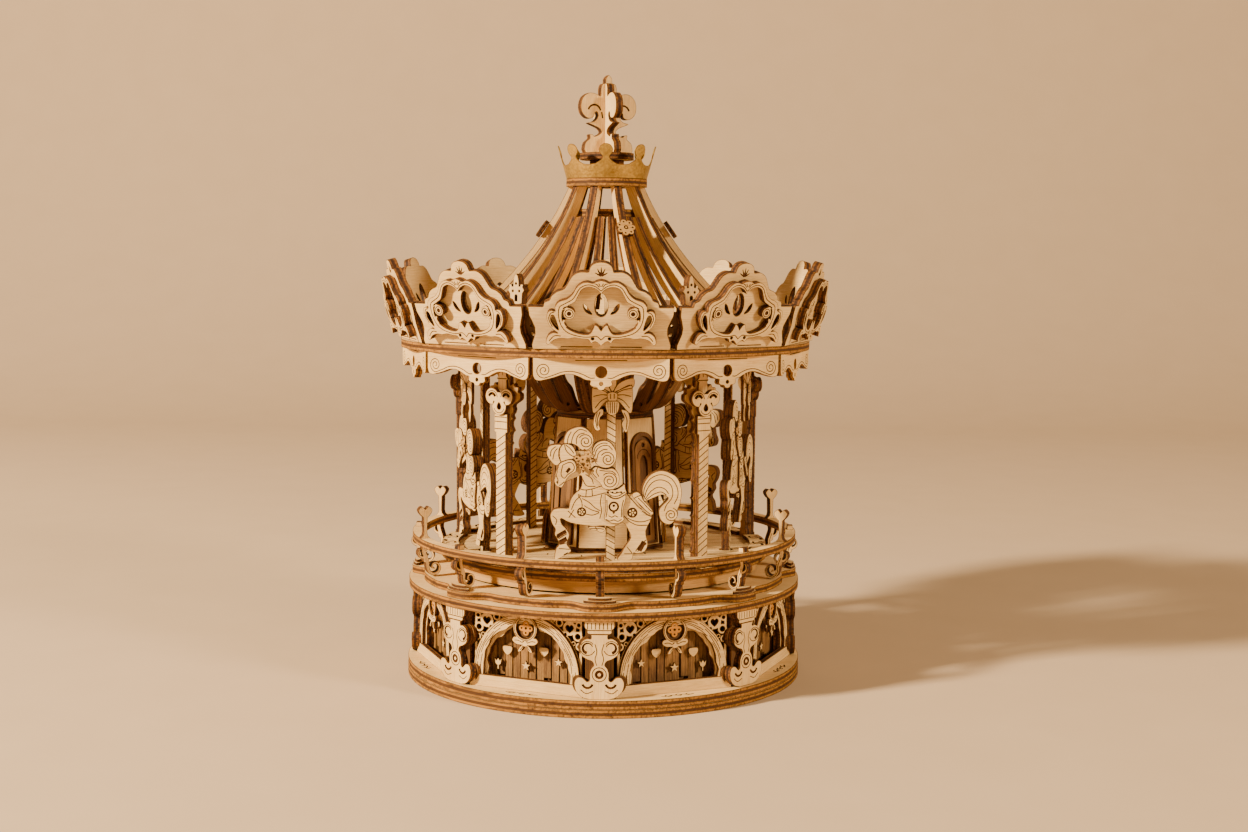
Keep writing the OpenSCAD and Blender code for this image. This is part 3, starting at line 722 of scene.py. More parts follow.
Piece("pillar_backs").lay(Sheet(backing, ply, SMOKE, grain=90), facing(0, pillar_r)).done(
    "base", "charred_plywood", "pillar_backings", copies=8)
Piece("pillar_fronts").lay(Sheet(front, ply - 0.2, LACE, grain=90), facing(0, pillar_r + ply)).done(
    "base", "plywood", "pillars", copies=8)

medal_z = wall_z + 22.9
bow_loop = smooth([(0.3, 23.6), (1.8, 25.5), (4.2, 26.1), (5.1, 24.8), (3.6, 23.5), (0.5, 23.3)],
                  True)
bow_tail = smooth([(0.3, 23.5), (1.9, 22.6), (2.9, 20.8), (1.7, 20.9), (0.8, 22.2)], True)
frame_ring = marks(FACE, circle(0, medal_z, 4.7, 40), circle(0, 23.7, 1.0, 16)) + both(marks(FACE,
        bow_loop, bow_tail))
frame_ring += marks(GAP, circle(0, medal_z, 3.6, 36, 1.05)) + lines(0.3,
        arc(0, medal_z, 4.25, 0, 360, 36))
frame_ring += both(lines(0.3, smooth([(0.9, 24.1), (2.6, 24.8), (4.2, 24.8)]),
                         smooth([(0.7, 23.0), (1.9, 21.4)])))
petals = [circle(1.5 * math.cos(a), medal_z + 1.5 * math.sin(a), 1.3, 16)
          for a in np.radians((0, 90, 180, 270))]
seeds = [circle(1.7 * math.cos(a), medal_z + 1.7 * math.sin(a), 0.4, 8)
         for a in np.radians((0, 90, 180, 270))]
medals = Piece("arch_medallions")
medals.lay(Sheet(frame_ring, thin, LACE), facing(0, panel_r + 0.3))
medals.lay(Sheet(marks(FACE, circle(0, medal_z, 3.6, 30)), 0.6, SMOKE), facing(0, panel_r + 0.3))
medals.lay(Sheet(marks(FACE, *petals) + marks(HOLLOW, circle(0, medal_z, 0.5, 10), *seeds), 0.7,
                 AMBER), facing(0, panel_r + 0.9))
medals.done("base", "thin_plywood", "medallions", copies=8, first=22.5)

# ---- Drum top --------------------------------------------------------------------
# A round disc closes the drum. On it lies a scalloped plate with a lobe over
# each pillar, and two small lens-shaped pads on each lobe under a baluster.

plate_z = top_z + base_disc
floor_z = plate_z + base_disc
top_disc = Sheet(marks(FACE, circle(0, 0, 76.4, 240)) + marks(GAP, circle(0, 0, 5, 40)), base_disc)
Piece("drum_top").lay(top_disc, lying(top_z)).done("base", "plywood", "base_top_disc")


def lobed(n=480):
    out = []
    for a in np.arange(n) * (360 / n):
        off = (a + 22.5) % 45 - 22.5
        r = 71.2 + 4.4 * math.exp(-((off / 6.2) ** 4)) - 0.9 * math.exp(-(((abs(off) - 10)
                / 3) ** 2))
        out.append((r * math.sin(math.radians(a)), -r * math.cos(math.radians(a))))
    return out


scallop = Sheet(marks(FACE, lobed()) + marks(GAP, circle(0, 0, 58, 200)), base_disc - 0.3)
Piece("scallop_plate").lay(scallop, lying(plate_z)).done("base", "plywood", "scalloped_plate")
lens = smooth([(-5.8, 0), (-3, 1.5), (0, 2), (3, 1.5), (5.8, 0), (3, -1.5), (0, -2), (-3, -1.5)],
              True)
pads = Piece("baluster_pad_pairs")
for size, z in ((1.0, floor_z - 0.3), (0.72, floor_z + 0.7)):
    pads.lay(Sheet(marks(FACE, moved(lens, 0, -73.4, 0, size)), 1.0, LACE), lying(z))
pads.done("base", "thin_plywood", "baluster_pads", copies=8)

# ---- Railing ---------------------------------------------------------------------
# Sixteen S-shaped balusters stand on edge around the drum top and pass through
# the handrail ring; between the pillars each ends in a heart, above a pillar in
# a short stub.

handrail_z = floor_z + 11.6
rail_ring = Sheet(marks(FACE, circle(0, 0, 75, 240)) + marks(GAP, circle(0, 0, 71, 200)), ply)
Piece("handrail").lay(rail_ring, lying(handrail_z)).done("base", "plywood", "rail_ring")

s_path = smooth([(73.4, handrail_z + 0.3), (73.7, 50.6), (73.0, 48.4), (72.3, 46.4), (72.2, 44.4),
                 (71.5, 42.6), (69.9, 41.7), (68.1, 42.4), (67.5, 44.2), (68.5, 45.8), (70.1, 45.6),
                 (70.5, 44.3), (69.5, 43.8)], n=5)
curl = smooth([(73.2, 48.2), (74.6, 48.3), (75.7, 49.5), (75.5, 51.1), (74.5, 51.5)])
scroll = marks(FACE, stroke(s_path, 1.75, True), stroke(curl, 1.2, True),
               circle(72.9, 47.2, 1.1, 14))
scroll += lines(0.3, s_path[8:48])
rail_top = handrail_z + ply
neck = [(71.2, rail_top), (72.1, rail_top + 1.0), (72.4, rail_top + 2.2), (72.2, rail_top + 8.4),
        (73.8, rail_top + 8.4), (73.6, rail_top + 2.2), (73.9, rail_top + 1.0), (74.8, rail_top)]
heart_top = marks(FACE, neck, heart(73, rail_top + 10.0, 2.75))
stub = marks(FACE, [(71.9, rail_top), (72.1, rail_top + 1.7), (74.1, rail_top + 1.7),
                    (74.3, rail_top)])
rails = Piece("balusters_and_hearts")
rails.lay(Sheet(scroll + heart_top, ply, LACE, grain=90), spoke(22.5, ply))
rails.lay(Sheet(scroll + stub, ply, LACE, grain=90), spoke(0, ply))
rails.done("base", "plywood", "balusters", copies=8)

# ---- Turntable -------------------------------------------------------------------
# The turning platform: a disc scored like floor boards, a toasted skirt ring
# under it and a ring of burnt scrollwork around its rim.

deck_z, deck_r, horse_turn, bays = 49.3, 64.0, 3.7, 5
horse_turns, column_turns = turns(bays, horse_turn), turns(bays, 36)
slots = [moved(circle(0, -48.9, 2.6, 20), turn=t) for t in horse_turns]
deck_shapes = marks(FACE, circle(0, 0, deck_r, 220))
for i in range(-18, 19):
    y = i * 3.4
    reach = math.sqrt(max(deck_r ** 2 - y * y, 0)) - 0.8
    deck_shapes += lines(0.6, [(-reach, y), (reach, y)])
    x = ((i * 37) % 50) - 25
    if abs(y + 3.4) < 55:
        deck_shapes += lines(0.5, [(x, y), (x, y + 3.4)])
deck_shapes += marks(GAP, *slots)
Piece("turntable").lay(Sheet(deck_shapes, ply), lying(deck_z - ply)).done("rotor", "plywood",
        "turntable_disc")
skirt = Sheet(marks(FACE, circle(0, 0, 60, 200)) + marks(GAP, circle(0, 0, 57.6, 200)), 4.8,
              (warm_face, warm_face, scored))
Piece("skirt_ring").lay(skirt, lying(floor_z + 0.6)).done("rotor", "charred_plywood",
                                                          "turntable_skirt")

lace_shapes = marks(FACE, circle(0, 0, 63.6, 220)) + marks(GAP, circle(0, 0, 57.2, 200))
for t in turns(30):
    swirl = stroke(smooth([(-3.6, -62.1), (-1.4, -62.4), (1.2, -61.2), (2.6, -59.4)]), 1.5, True)
    under = stroke(smooth([(4.6, -58.6), (2.2, -58.5), (0.2, -59.2), (-1.6, -60.6)]), 1.1, True)
    lace_shapes += marks(HOLLOW, moved(swirl, turn=t), moved(under, turn=t),
                         moved(circle(4.6, -61.4, 0.85, 10), turn=t))
lace_shapes += marks(GAP, *[moved(box(-3.9, -66, 3.9, -56.2), turn=t) for t in column_turns])
Piece("scroll_ring").lay(Sheet(lace_shapes, 1.4, LACE), lying(deck_z)).done("rotor", "thin_plywood",
        "turntable_lace")

# ---- Columns ---------------------------------------------------------------------
# Five columns carry the canopy. A striped post stands on a beaded backing plate;
# a collar and a capital like a ram's horns cover the joint below the ceiling.

column_r, collar_z, capital_z, canopy_z = 60.6, 98.3, 105.0, 127.1


def striped(width, low, high, pitch, slope=0.62, line=0.45):
    """A strip scored with slanting lines like a barber's pole."""
    shapes = marks(FACE, box(-width / 2, low, width / 2, high))
    z = low + 0.6
    while z < high - width * slope - 0.4:
        shapes += lines(line, [(-width / 2, z), (width / 2, z + width * slope)])
        z += pitch
    return shapes


post = striped(4.5, deck_z, collar_z, 2.5)
post += marks(FACE, box(-2.95, collar_z, 2.95, capital_z), box(-3.1, deck_z, 3.1, deck_z + 2.2))
post += lines(0.34, *[[(-2.9, z), (2.9, z)] for z in (99.6, 102.2, 103.9)], [(-3, 51), (3, 51)])
bead = [(3.3, deck_z), (3.3, deck_z + 3), (2.7, deck_z + 3.4)]
for z in np.arange(deck_z + 6, 97, 6.5):
    bead += [(2.6, z - 0.9), (3.25, z), (2.6, z + 0.9)]
bead += [(3.0, 98), (3.9, 99), (3.1, 100.6), (3.1, 102.2), (4.0, 103.4), (3.4, 104.6), (4.4, 106),
         (3.6, 108), (0, 108)]
ear = [(7.4, 110.4), (7.6, 112.6), (6.6, 113.2), (6.6, 114.8), (5.2, 115.0), (4.4, 116.2),
       (3.0, 115.4)]
hood = [(0, 104.4), (3.4, 105.2), (4.6, 106.6), (4.4, 108.4)] + ear + [(2.7, 118), (3.3, 119.4),
        (2.6, 121), (2.9, 123.6), (2.3, canopy_z), (0, canopy_z)]
backing = marks(FACE, twice([(0, deck_z)] + smooth(bead, n=3)),
                twice([hood[0]] + smooth(hood[1:-1], n=3) + [hood[-1]]))
drop = smooth([(0, 109.3), (0.7, 108.5), (0.95, 107.6), (0.6, 106.9), (0, 106.7), (-0.6, 106.9),
               (-0.95, 107.6), (-0.7, 108.5)], True, 4)
capital = marks(FACE, circle(0, 108, 3.3, 32), box(-1.6, 108, 1.6, 113)) + both(marks(FACE,
        circle(3.4, 111.4, 3.0, 28)))
capital += marks(GAP, drop) + both(marks(GAP, stroke(arc(3.3, 110.9, 1.5, 20, 160, 14), 0.8)))
capital += both(marks(HOLLOW, stroke([(2.3, 109.7), (3.1, 108.3)], 0.75, True)))
capital += both(lines(0.32, arc(3.3, 110.9, 2.5, 35, 175, 16))) + lines(0.32,
        arc(0, 108, 2.5, 200, 340, 16))
stem = marks(FACE, twice([(0, 110), (2.6, 110), (2.2, 114), (1.9, 117.2), (2.6, 117.8),
                          (1.9, 118.6), (1.5, 121), (1.3, canopy_z), (0, canopy_z)])) + lines(0.34,
        [(-2.4, 117.8), (2.4, 117.8)], [(0, 119), (0, 126.6)])
columns = Piece("column_fronts").lay(Sheet(post, 1.8, LACE, grain=90), facing(0, column_r + 0.2))
columns.done("rotor", "plywood", "column_posts", copies=5, first=36)
Piece("column_backs").lay(Sheet(backing, 2.2, TOAST, grain=90), facing(0, column_r - 2)).done(
    "rotor", "plywood", "column_backings", copies=5, first=36)
heads = Piece("column_heads").lay(Sheet(capital, 1.8, LACE, grain=90), facing(0, column_r + 1.2))
heads.lay(Sheet(stem, 0.9, LACE, grain=90), facing(0, column_r + 0.25))
heads.done("rotor", "plywood", "column_capitals", copies=5, first=36)

# ---- Core ------------------------------------------------------------------------
# An eight-sided tapering housing hides the shaft. Every other side has a tall
# arched mirror frame in two layers, and the sides between have a low door.

core_z, core_top, core_low, core_high = deck_z + 1.8, 100.4, 22.5, 19.0
core_lean = -math.degrees(math.atan((core_low - core_high) / (core_top - core_z)))


def on_core(turn, proud):
    m = facing(turn, core_low, core_z, core_lean)
    m[:3, 3] += m[:3, 2] * proud
    return m


side = marks(FACE, [(-8.0, 0), (8.0, 0), (6.6, core_top - core_z), (-6.6, core_top - core_z)])
Piece("core_sides").lay(Sheet(side, thin, BIRCH, grain=90), on_core(0, -thin)).done(
    "rotor", "thin_plywood", "core_panels", copies=8)


def arch_door(half, low, spring, point=1.0):
    return [(half, low), (half, spring)] + [(half * math.cos(a), spring + half * point
                                             * math.sin(a))
                                            for a in np.radians(np.linspace(8, 172, 14))] + [(-half,
            spring), (-half, low)]


outer_frame = marks(FACE, arch_door(6.0, 0.8, 38)) + marks(GAP, arch_door(4.9, 2, 37.5))
inner_frame = marks(FACE, arch_door(4.5, 0.8, 36.5)) + marks(GAP, arch_door(2.1, 4, 31, 1.9),
        circle(0, 39.0, 0.9, 14))
inner_frame += lines(0.32, arch_door(3.3, 2, 34)[1:-1])
mirrors = Piece("mirror_frames")
mirrors.lay(Sheet(outer_frame, 1.5, SMOKE, grain=90), on_core(0, 0.02))
mirrors.lay(Sheet(marks(FACE, arch_door(5.2, 1.5, 37.7)), 0.4, SMOKE, grain=90), on_core(0, 0.02))
mirrors.lay(Sheet(inner_frame, 0.9, UMBER, grain=90), on_core(0, 0.42))
mirrors.done("rotor", "thin_plywood", "core_arch_frames", copies=4, first=45)
door = marks(FACE, smooth([(-9.3, 0.2), (-9.1, 9.4), (-8.5, 10.2), (8.5, 10.2), (9.1, 9.4),
                           (9.3, 0.2)], n=3))
Piece("low_doors").lay(Sheet(door, 1.6, BIRCH), on_core(0, 0.4)).done(
    "rotor", "thin_plywood", "core_doors", copies=4)
eight = [(r * math.sin(a), -r * math.cos(a)) for r,
         a in [(core_low / math.cos(math.pi / 8) + 0.6, math.radians(t)) for t in bay_turns]]
core_rings = Piece("core_plinth_and_ring")
core_rings.lay(Sheet(marks(FACE, eight) + marks(GAP, circle(0, 0, 16, 60)), 1.8, SMOKE),
               lying(deck_z))
core_rings.lay(Sheet(marks(FACE, circle(0, 0, 18.8, 90)) + marks(GAP, circle(0, 0, 12, 60)), thin,
                     LACE), lying(core_top))
core_rings.done("rotor", "thin_plywood", "core_rings")

# ---- Hanging dome ----------------------------------------------------------------
# Ten curved ribs, pierced to save weight, hang from the ceiling to the core's
# top ring like an upturned dome.

dome_z = core_top + thin
dome_out = smooth([(18.4, dome_z), (22.6, 103.6), (26.4, 107.2), (30.2, 113.4), (32.8, 120),
                   (34.5, canopy_z)])
dome_in = smooth([(13.4, dome_z), (15.6, 106), (17.4, 110), (20.4, 113), (22.8, 119),
                  (24.6, canopy_z)])
slit = smooth([(20.6, 105.6), (24.6, 109.4), (28.4, 116), (30.2, 123.6), (27.6, 121.6),
               (24.2, 113.6)], True)
dome_rib = marks(FACE, dome_out + dome_in[::-1]) + marks(GAP, slit, circle(18.4, 105.4, 0.7, 12),
                                                         circle(31.4, 125.2, 0.6, 10))
Piece("dome_frames").lay(Sheet(dome_rib, ply, UMBER, grain=60), spoke(0, ply)).done(
    "rotor", "plywood", "dome_ribs", copies=10, first=18)

# ---- Horses ----------------------------------------------------------------------
# Five galloping horses. Each is a body plate scored on both faces, with a thin
# second layer on its outer side for the mane, blanket, saddle, tail and flowers.

pole_r, hoof_z, lifts = 50.4, 52.8, (0, 7.5, 5, 2, 0)
body_edge = [(-11.1, 30.5), (-10.5, 29), (-11.1, 25.7), (-13.5, 23.5), (-15.1, 20.6), (-15.3, 18.6),
             (-18.2, 18.6), (-20.8, 18.1), (-22, 16), (-21.4, 13), (-20.1, 10.9), (-20.4, 9),
             (-19.4, 7.2), (-18.8, 5.2), (-19.9, 3.6), (-20.4, -0.2), (-18.2, 0.4), (-14.6, 2.6),
             (-15, 4), (-16, 5.6), (-15.1, 8.8), (-16.4, 11.2), (-17.8, 12.6), (-18.2, 14.9),
             (-14.6, 13.2), (-7.9, 12.1), (-2.8, 12.1), (0.9, 11.8), (4.4, 13.2), (6.4, 10.3),
             (7.2, 7.7), (5.2, 4.6), (3.8, 2), (2.4, -0.5), (7.4, -0.5), (8.2, 2.1), (9.4, 1.9),
             (12.2, 2.6), (13.4, 5.4), (12.6, 10.1), (14.7, 15.1), (14.1, 19.5), (10.6, 23.5),
             (5.5, 23.9), (0.2, 25.4), (-2.8, 26.1), (-5, 29.4), (-7.2, 32.7), (-7.9, 36.4),
             (-9.8, 39.3), (-13.5, 39.3), (-16.4, 37.1), (-19.5, 33.1), (-20.6, 29.4),
             (-19.7, 26.8), (-17.9, 26.3), (-16.4, 28.1), (-13.5, 29.4)]
tail_edge = [(11.7, 21.5), (11.2, 24.3), (11.4, 26.8), (13, 29.8), (15.2, 31.6), (18.2, 32.4),
             (21.5, 31.4), (24.1, 29.4), (25.5, 25), (25, 20.6), (24.1, 18), (24.1, 15.8),
             (21.9, 12.9), (19.7, 12.9), (18, 14.3), (17.3, 16.5), (17.6, 18.7), (20.4, 21.7),
             (20.2, 22.8), (18.2, 23.5), (14.1, 21.9), (12.5, 21.2)]
plume = [(-17, 42.1), (-17.1, 44.1), (-16, 46.5), (-13.8, 47.8), (-11.4, 48.3), (-9.2, 47.6),
         (-7.4, 46), (-6.5, 43.8), (-6.9, 41.6), (-8.3, 40.1), (-10, 39.6), (-11.4, 40.2),
         (-12.7, 41.4), (-14.6, 42.1)]
front_lobe = [(-20.1, 34.2), (-21.9, 35.7), (-23.3, 37.9), (-23.3, 39.7), (-22.1, 41.5),
              (-18.2, 41.8), (-18.9, 40.1), (-19, 37.5), (-18.3, 35.3)]
brow_lobe = [(-18.2, 35.5), (-18.9, 38.6), (-18.5, 40.8), (-17, 42.1), (-14.7, 41.7), (-13.3, 40.1),
             (-12.6, 37.5), (-14.2, 36.4), (-16.4, 35.9)]
mask = [(-19.5, 33.1), (-18.8, 34.9), (-17, 35.9), (-14.9, 36.4), (-13.3, 35.7), (-12.6, 33.8),
        (-12.9, 32), (-14.6, 30.9), (-16, 29.4), (-17.7, 26.4), (-18.8, 26.3), (-20.1, 27),
        (-20.7, 29), (-19.7, 31.6)]
upper_mane = [(-7, 38.6), (-6.5, 41.2), (-5, 42.7), (-2.6, 43.3), (-0.4, 42.5), (1.2, 40.3),
              (1.8, 38.1), (1.4, 35.7), (0.2, 34), (-1.7, 33.3), (-3.5, 33.5), (-5, 34.2),
              (-6.1, 35.7)]
lower_mane = [(-7.2, 32.7), (-5.7, 33.8), (-3.5, 33.1), (-1.7, 32.9), (0.3, 33.2), (2, 32),
              (2.9, 29.8), (2.5, 27.4), (1.1, 25.7), (-1, 25.4), (-3, 25.9), (-4.1, 27.6),
              (-6.5, 29.8), (-7.3, 31.3)]
blanket = [(-2.3, 23.3), (-2.1, 23.9), (0.2, 22.4), (2.4, 22.2), (5, 23.6), (5.2, 21.7),
           (4.4, 18.7), (4.3, 15.8), (4.8, 14.7), (3.5, 13.4), (0.9, 13), (-1.7, 14), (-2.6, 15.1),
           (-2.1, 18), (-2.2, 21)]
saddle = [(-1.8, 24.3), (-0.2, 25.4), (1.6, 25.4), (3.5, 26.5), (4.8, 27.5), (5.1, 25.7),
          (5.5, 24.3), (3.8, 22.9), (1.6, 22.2), (-0.2, 22.8)]
roll = [(7.4, 23.5), (8.1, 24.3), (9.5, 24.6), (10.8, 23.5), (11.6, 21.7), (13.4, 19.8),
        (15.1, 17.7), (15.2, 16.5), (14.1, 16.1), (12.7, 16.7), (10.8, 18.9), (9.2, 21.1),
        (8.1, 22.2)]
belly_leaf = [(-8.3, 11.7), (-6.5, 12.1), (-3.9, 11.9), (-2.1, 11.5), (-2.3, 10.3), (-3.9, 9.7),
              (-5.4, 10.5), (-7.2, 10.7)]
eye = (-15.6, 32.5)
flower_spots = ((-8.6, 38.4, 1.4), (-10.4, 36.5, 1.5), (-12.6, 36.9, 1.1), (-8.7, 34.4, 1.2),
                (-10.9, 33.6, 0.9))


def lobe(points):
    """A raised lobe with a burnt line round it."""
    edge = smooth(points, True, 4)
    return marks(FACE, edge) + lines(0.42, edge + edge[:2])


def curves(*paths):
    return lines(0.34, *[smooth(path) for path in paths])


def rosette(x, y, r):
    out = marks(HOLLOW, circle(x, y, r, 20))
    return out + marks(FACE, *[circle(x + 0.5 * r * math.cos(a), y + 0.5 * r * math.sin(a), 0.2 * r,
                                      8) for a in np.radians(turns(5))], circle(x, y, 0.17 * r, 8))


harness_and_hoof_shade = curves(
    [(-10.5, 29.4), (-9, 26.8), (-5.7, 26.5)], [(-9.4, 30.9), (-7.2, 29.4), (-6.5, 27.4)],
    [(-11.4, 25.6), (-9.4, 25.2), (-6.5, 25.7), (-3.5, 26.7)],
    [(-12, 23.6), (-10.1, 22.8), (-7.2, 22.9), (-2.1, 24.2)], [(-9, 25.2), (-9.2, 22.9)],
    [(-7, 25.6), (-6.8, 22.9)], [(-11.8, 25.2), (-13.8, 23.2), (-14.9, 21), (-15.3, 18.4)],
    [(-10.9, 23.2), (-13.1, 21), (-14.4, 18)], [(-12, 23.2), (-10.9, 21.5), (-10.5, 19.5),
                                                (-10.9, 18)],
    [(-10.5, 22.1), (-7.9, 20.6), (-5.7, 18.6), (-3.9, 17.6)],
    [(-9.8, 19.5), (-7.2, 18), (-4.3, 17.1)], [(-9.4, 16.5), (-6.8, 16), (-4.3, 16.9)],
    [(-3.5, 23.5), (-3.9, 20.6), (-3.5, 17.6), (-4.1, 14.7)], [(-15.7, 17.6), (-12.9, 15.1)],
    [(-13.5, 18), (-15.3, 15.1)], [(5.7, 23.7), (7.5, 21.7), (9.4, 19.5), (11.2, 18)],
    [(4.6, 15.8), (6.8, 13.6), (9.7, 12.3), (13.2, 12.3)], [(6, 14.9), (8.6, 13.8), (11.6, 13.6),
        (14.5, 14.5)], [(11.2, 17.6), (13, 16.2), (14.7, 15.4)], [(-19.7, 8.8), (-16.4, 10.7)],
    [(-19, 7.3), (-16, 9.2)], [(-18.2, 5.3), (-16, 5.9)], [(-18.9, 3.8), (-14.9, 3.5)],
    [(5.9, 4.3), (7.7, 2.1)], [(4.9, 1.8), (7.9, 1.8)], [(9, 2.7), (10.6, 5.1), (13, 7)],
    [(9.7, 2.6), (11.2, 4.2), (13, 5.5)], [(-16.8, 27.4), (-13.5, 29), (-10.7, 30.4)],
    [(-21.2, 15.8), (-19.7, 14.3), (-20.1, 12.5)])
# The burnt patch at (11.2, 4.6) is painted shade that stands in for the shaded far hind hoof.
harness_and_hoof_shade += marks(HOLLOW, moved(box(-2.0, -0.6, 2.0, 0.6), -17.9, 9.0, 32),
                 moved(box(-1.7, -0.9, 1.7, 0.9), -17.4, 6.6, 28), moved(box(-1.9, -0.9, 1.9, 0.9),
        11.2, 4.6, 62), moved(box(-0.9, -0.5, 0.9, 0.5), -16.2, 1.6, 30))
manes = lines(0.36, coil(21.7, 16.2, 2.6, 0.4, 75, -2.1, 34), coil(-9.4, 42.9, 2.7, 0.4, 150, -2.0,
        34), coil(-1.4, 36.5, 2.7, 0.4, 150, -2.1, 34), coil(-0.7, 28.7, 3.0, 0.4, 140, -2.3, 38))
manes += curves(
    [(-14.6, 42.1), (-14.2, 44.1), (-13.3, 46), (-11.4, 47.3), (-9, 46.6)],
    [(-16, 42.1), (-15.7, 44.3), (-14.6, 46.5)], [(-12.7, 41.9), (-12.7, 43.8), (-11.8, 45.4),
                                                  (-9.8, 46.0)], [(-16.6, 41.7), (-14.9, 40.3),
        (-13.6, 38.6)], [(-17, 41.8), (-16.4, 39.7), (-14.6, 37.9), (-12.9, 37.3)],
    [(-22.1, 37.5), (-21.7, 39.7), (-20.1, 41.1)], [(-21.2, 36.4), (-20.6, 39), (-19.5, 40.5)],
    [(-6.1, 37.5), (-5.4, 39.9), (-3.5, 41.3), (-1.3, 41.4), (0.3, 39.9)],
    [(-6.5, 39), (-5.7, 41), (-3.5, 42.3), (-1.5, 42.3)], [(-5.4, 36.2), (-4.8, 38.6), (-3.2, 39.9),
        (-1.5, 40)], [(-5, 33.5), (-5.5, 32), (-4.6, 30.2)],
    [(-4.4, 32.5), (-2.1, 32.2), (0.2, 32.1), (1.7, 30.8)],
    [(-6.5, 32.5), (-6.7, 31.3), (-5.3, 29.6)], [(11.9, 22.2), (13, 25.7), (15.2, 28.3), (18.2, 29),
                                                 (21.1, 27.6), (22.2, 25), (21.9, 22.4), (20, 19.8),
                                                 (19.2, 17.6)],
    [(12.2, 21.9), (14.1, 24.6), (16.7, 26.3), (19.3, 25.7), (20.8, 23.9)],
    [(11.7, 22.8), (12, 26.1), (14.1, 29.4), (17.8, 30.9), (21.5, 29.6), (23.7, 26.5), (24.1, 23.2),
     (22.8, 20.2)], [(12.5, 21.6), (14.9, 23.5), (17.8, 24.6), (20, 23.5)])
seat = curves(
    [(-1.3, 24.3), (0.2, 23.2), (2.4, 23.1), (5, 24.6)], [(-0.6, 24.7), (1.3, 24.1), (3.8, 24.8)],
    [(8.1, 22.2), (9.4, 22.9), (10.9, 23.5)], [(9.2, 21.1), (10.8, 19.5), (12.7, 17.6),
                                               (14.1, 16.5)],
    [(9.7, 22.4), (11.6, 20.6), (13.4, 18.6), (14.9, 17.3)], [(-1, 16), (0.2, 15.4), (1.3, 15.9),
        (2.5, 15.4)], [(-1.9, 14.6), (-0.6, 14), (0.9, 14.4), (2.4, 13.9), (3.8, 14.6)],
    [(-1.6, 21.7), (-1.5, 18), (-1.9, 15.3)], [(4.4, 21.7), (3.8, 18.7), (3.7, 15.4)],
    [(-7.6, 11.2), (-5, 11.3), (-2.6, 11)], [(-5.7, 11.9), (-5, 10.7)])
seat += marks(HOLLOW, circle(0.9, 19.2, 1.95, 24)) + marks(FACE, circle(0.9, 19.2, 1.25, 18))
seat += marks(HOLLOW, circle(0.9, 19.6, 0.5, 10), heart(0.9, 17.0, 0.5),
              *[circle(-1.2 + 1.6 * i, 24.4, 0.4, 8) for i in range(4)])
bridle = curves([(-18.8, 26.9), (-17.7, 27.7), (-17, 28.4)],
                [(-20.1, 30.9), (-19.3, 29), (-19.5, 27.4)], [(-17.6, 34.4), (-14.9, 35.4),
        (-13.5, 34), (-13.8, 32.4), (-15.7, 31), (-17, 29.6), (-18.2, 31), (-17.6, 34.4)])
bridle += marks(HOLLOW, moved(box(-1.0, -0.55, 1.0, 0.55), *eye, 52), circle(-19.6, 28.2, 0.35, 8))
parts = (tail_edge, plume, front_lobe, brow_lobe, mask, upper_mane, lower_mane)
solid = marks(FACE, smooth(body_edge, True, 3),
              *[smooth(edge, True, 4) for edge in parts + (belly_leaf, saddle, roll)])
solid += rosette(-10.7, 17.2, 1.7) + rosette(7.7, 16.9, 1.9) + harness_and_hoof_shade
second = [shape for edge in (*parts, blanket, saddle, roll, belly_leaf)
          for shape in lobe(edge)] + manes + seat + bridle
inner_lines = [shape for shape in second if shape[0] >= SCORE]
flowers, hearts = [], []
for k, (x, y, r) in enumerate(flower_spots):
    flowers += [circle(x + 0.6 * r * math.cos(a), y + 0.6 * r * math.sin(a), 0.5 * r, 10)
                for a in np.radians(turns(5, 20 * k))]
    hearts += [circle(x, y, 0.4, 8)]
leaves = [stroke(smooth([(x, y), (x + dx, y + dy), (x + 2 * dx, y + dy)]), 1.0, True) for x, y, dx,
          dy in ((-8, 37, 1.3, -0.4), (-8.4, 33.6, 0.9, -1.2), (-12.2, 35.6, -0.4, -1.2),
                 (-9.4, 39, -0.4, 1.0), (-7.4, 35.4, 1.1, 0.5), (-10, 33.2, -0.3, -1.3))]
posy = marks(FACE, *leaves, *flowers) + marks(HOLLOW, *hearts, *[leaf[2:-2] for leaf in leaves])


def reverse(shapes):
    return [(level, flip(outline)) for level, outline in shapes]


def backwards(turn, radius, height):
    """Stands a sheet up with its face turned towards the axis."""
    m = facing(turn, radius, height)
    m[:3, 0] *= -1
    m[:3, 2] *= -1
    return m


outer_side = ((Sheet(solid, 1.5, LACE), 0), (Sheet(second, 0.9, LACE), 1.5),
              (Sheet(posy, 0.7, TOAST), 2.3))
inner_side = Sheet(reverse(solid + inner_lines), 1.5, LACE)
for k, turn in enumerate(horse_turns):
    horse = Piece(f"horse_figure_{k + 1}").lay(inner_side,
                                               backwards(turn, pole_r + 1.5, hoof_z + lifts[k]))
    for sheet, proud in outer_side:
        horse.lay(sheet, facing(turn, pole_r + 1.5 + proud, hoof_z + lifts[k]))
    horse.done(f"horse_{k + 1}", "plywood", f"horse_{k + 1}")

# ---- Poles and bows --------------------------------------------------------------
# A striped pole runs behind each horse from the wavy track to the ceiling, and a
# bow of ribbon hangs from the ceiling in front of it.

pole_foot, pole_top = plate_z + 0.6, canopy_z + ply + 1.5
for k, turn in enumerate(horse_turns):
    strip = striped(3.3, pole_foot, pole_top, 2.3, -0.55)
    strip = [(level, [(x, min(max(z, pole_foot), pole_top)) for x, z in outline]) for level,
             outline in strip]
    pole = Piece(f"striped_pole_{k + 1}")
    pole.lay(Sheet(strip, 1.5, LACE, grain=90), facing(turn, pole_r - 1.5, lifts[k]))
    pole.lay(Sheet(reverse(strip), 1.5, LACE, grain=90), backwards(turn, pole_r - 1.5, lifts[k]))
    pole.done(f"horse_{k + 1}", "plywood", f"pole_{k + 1}")

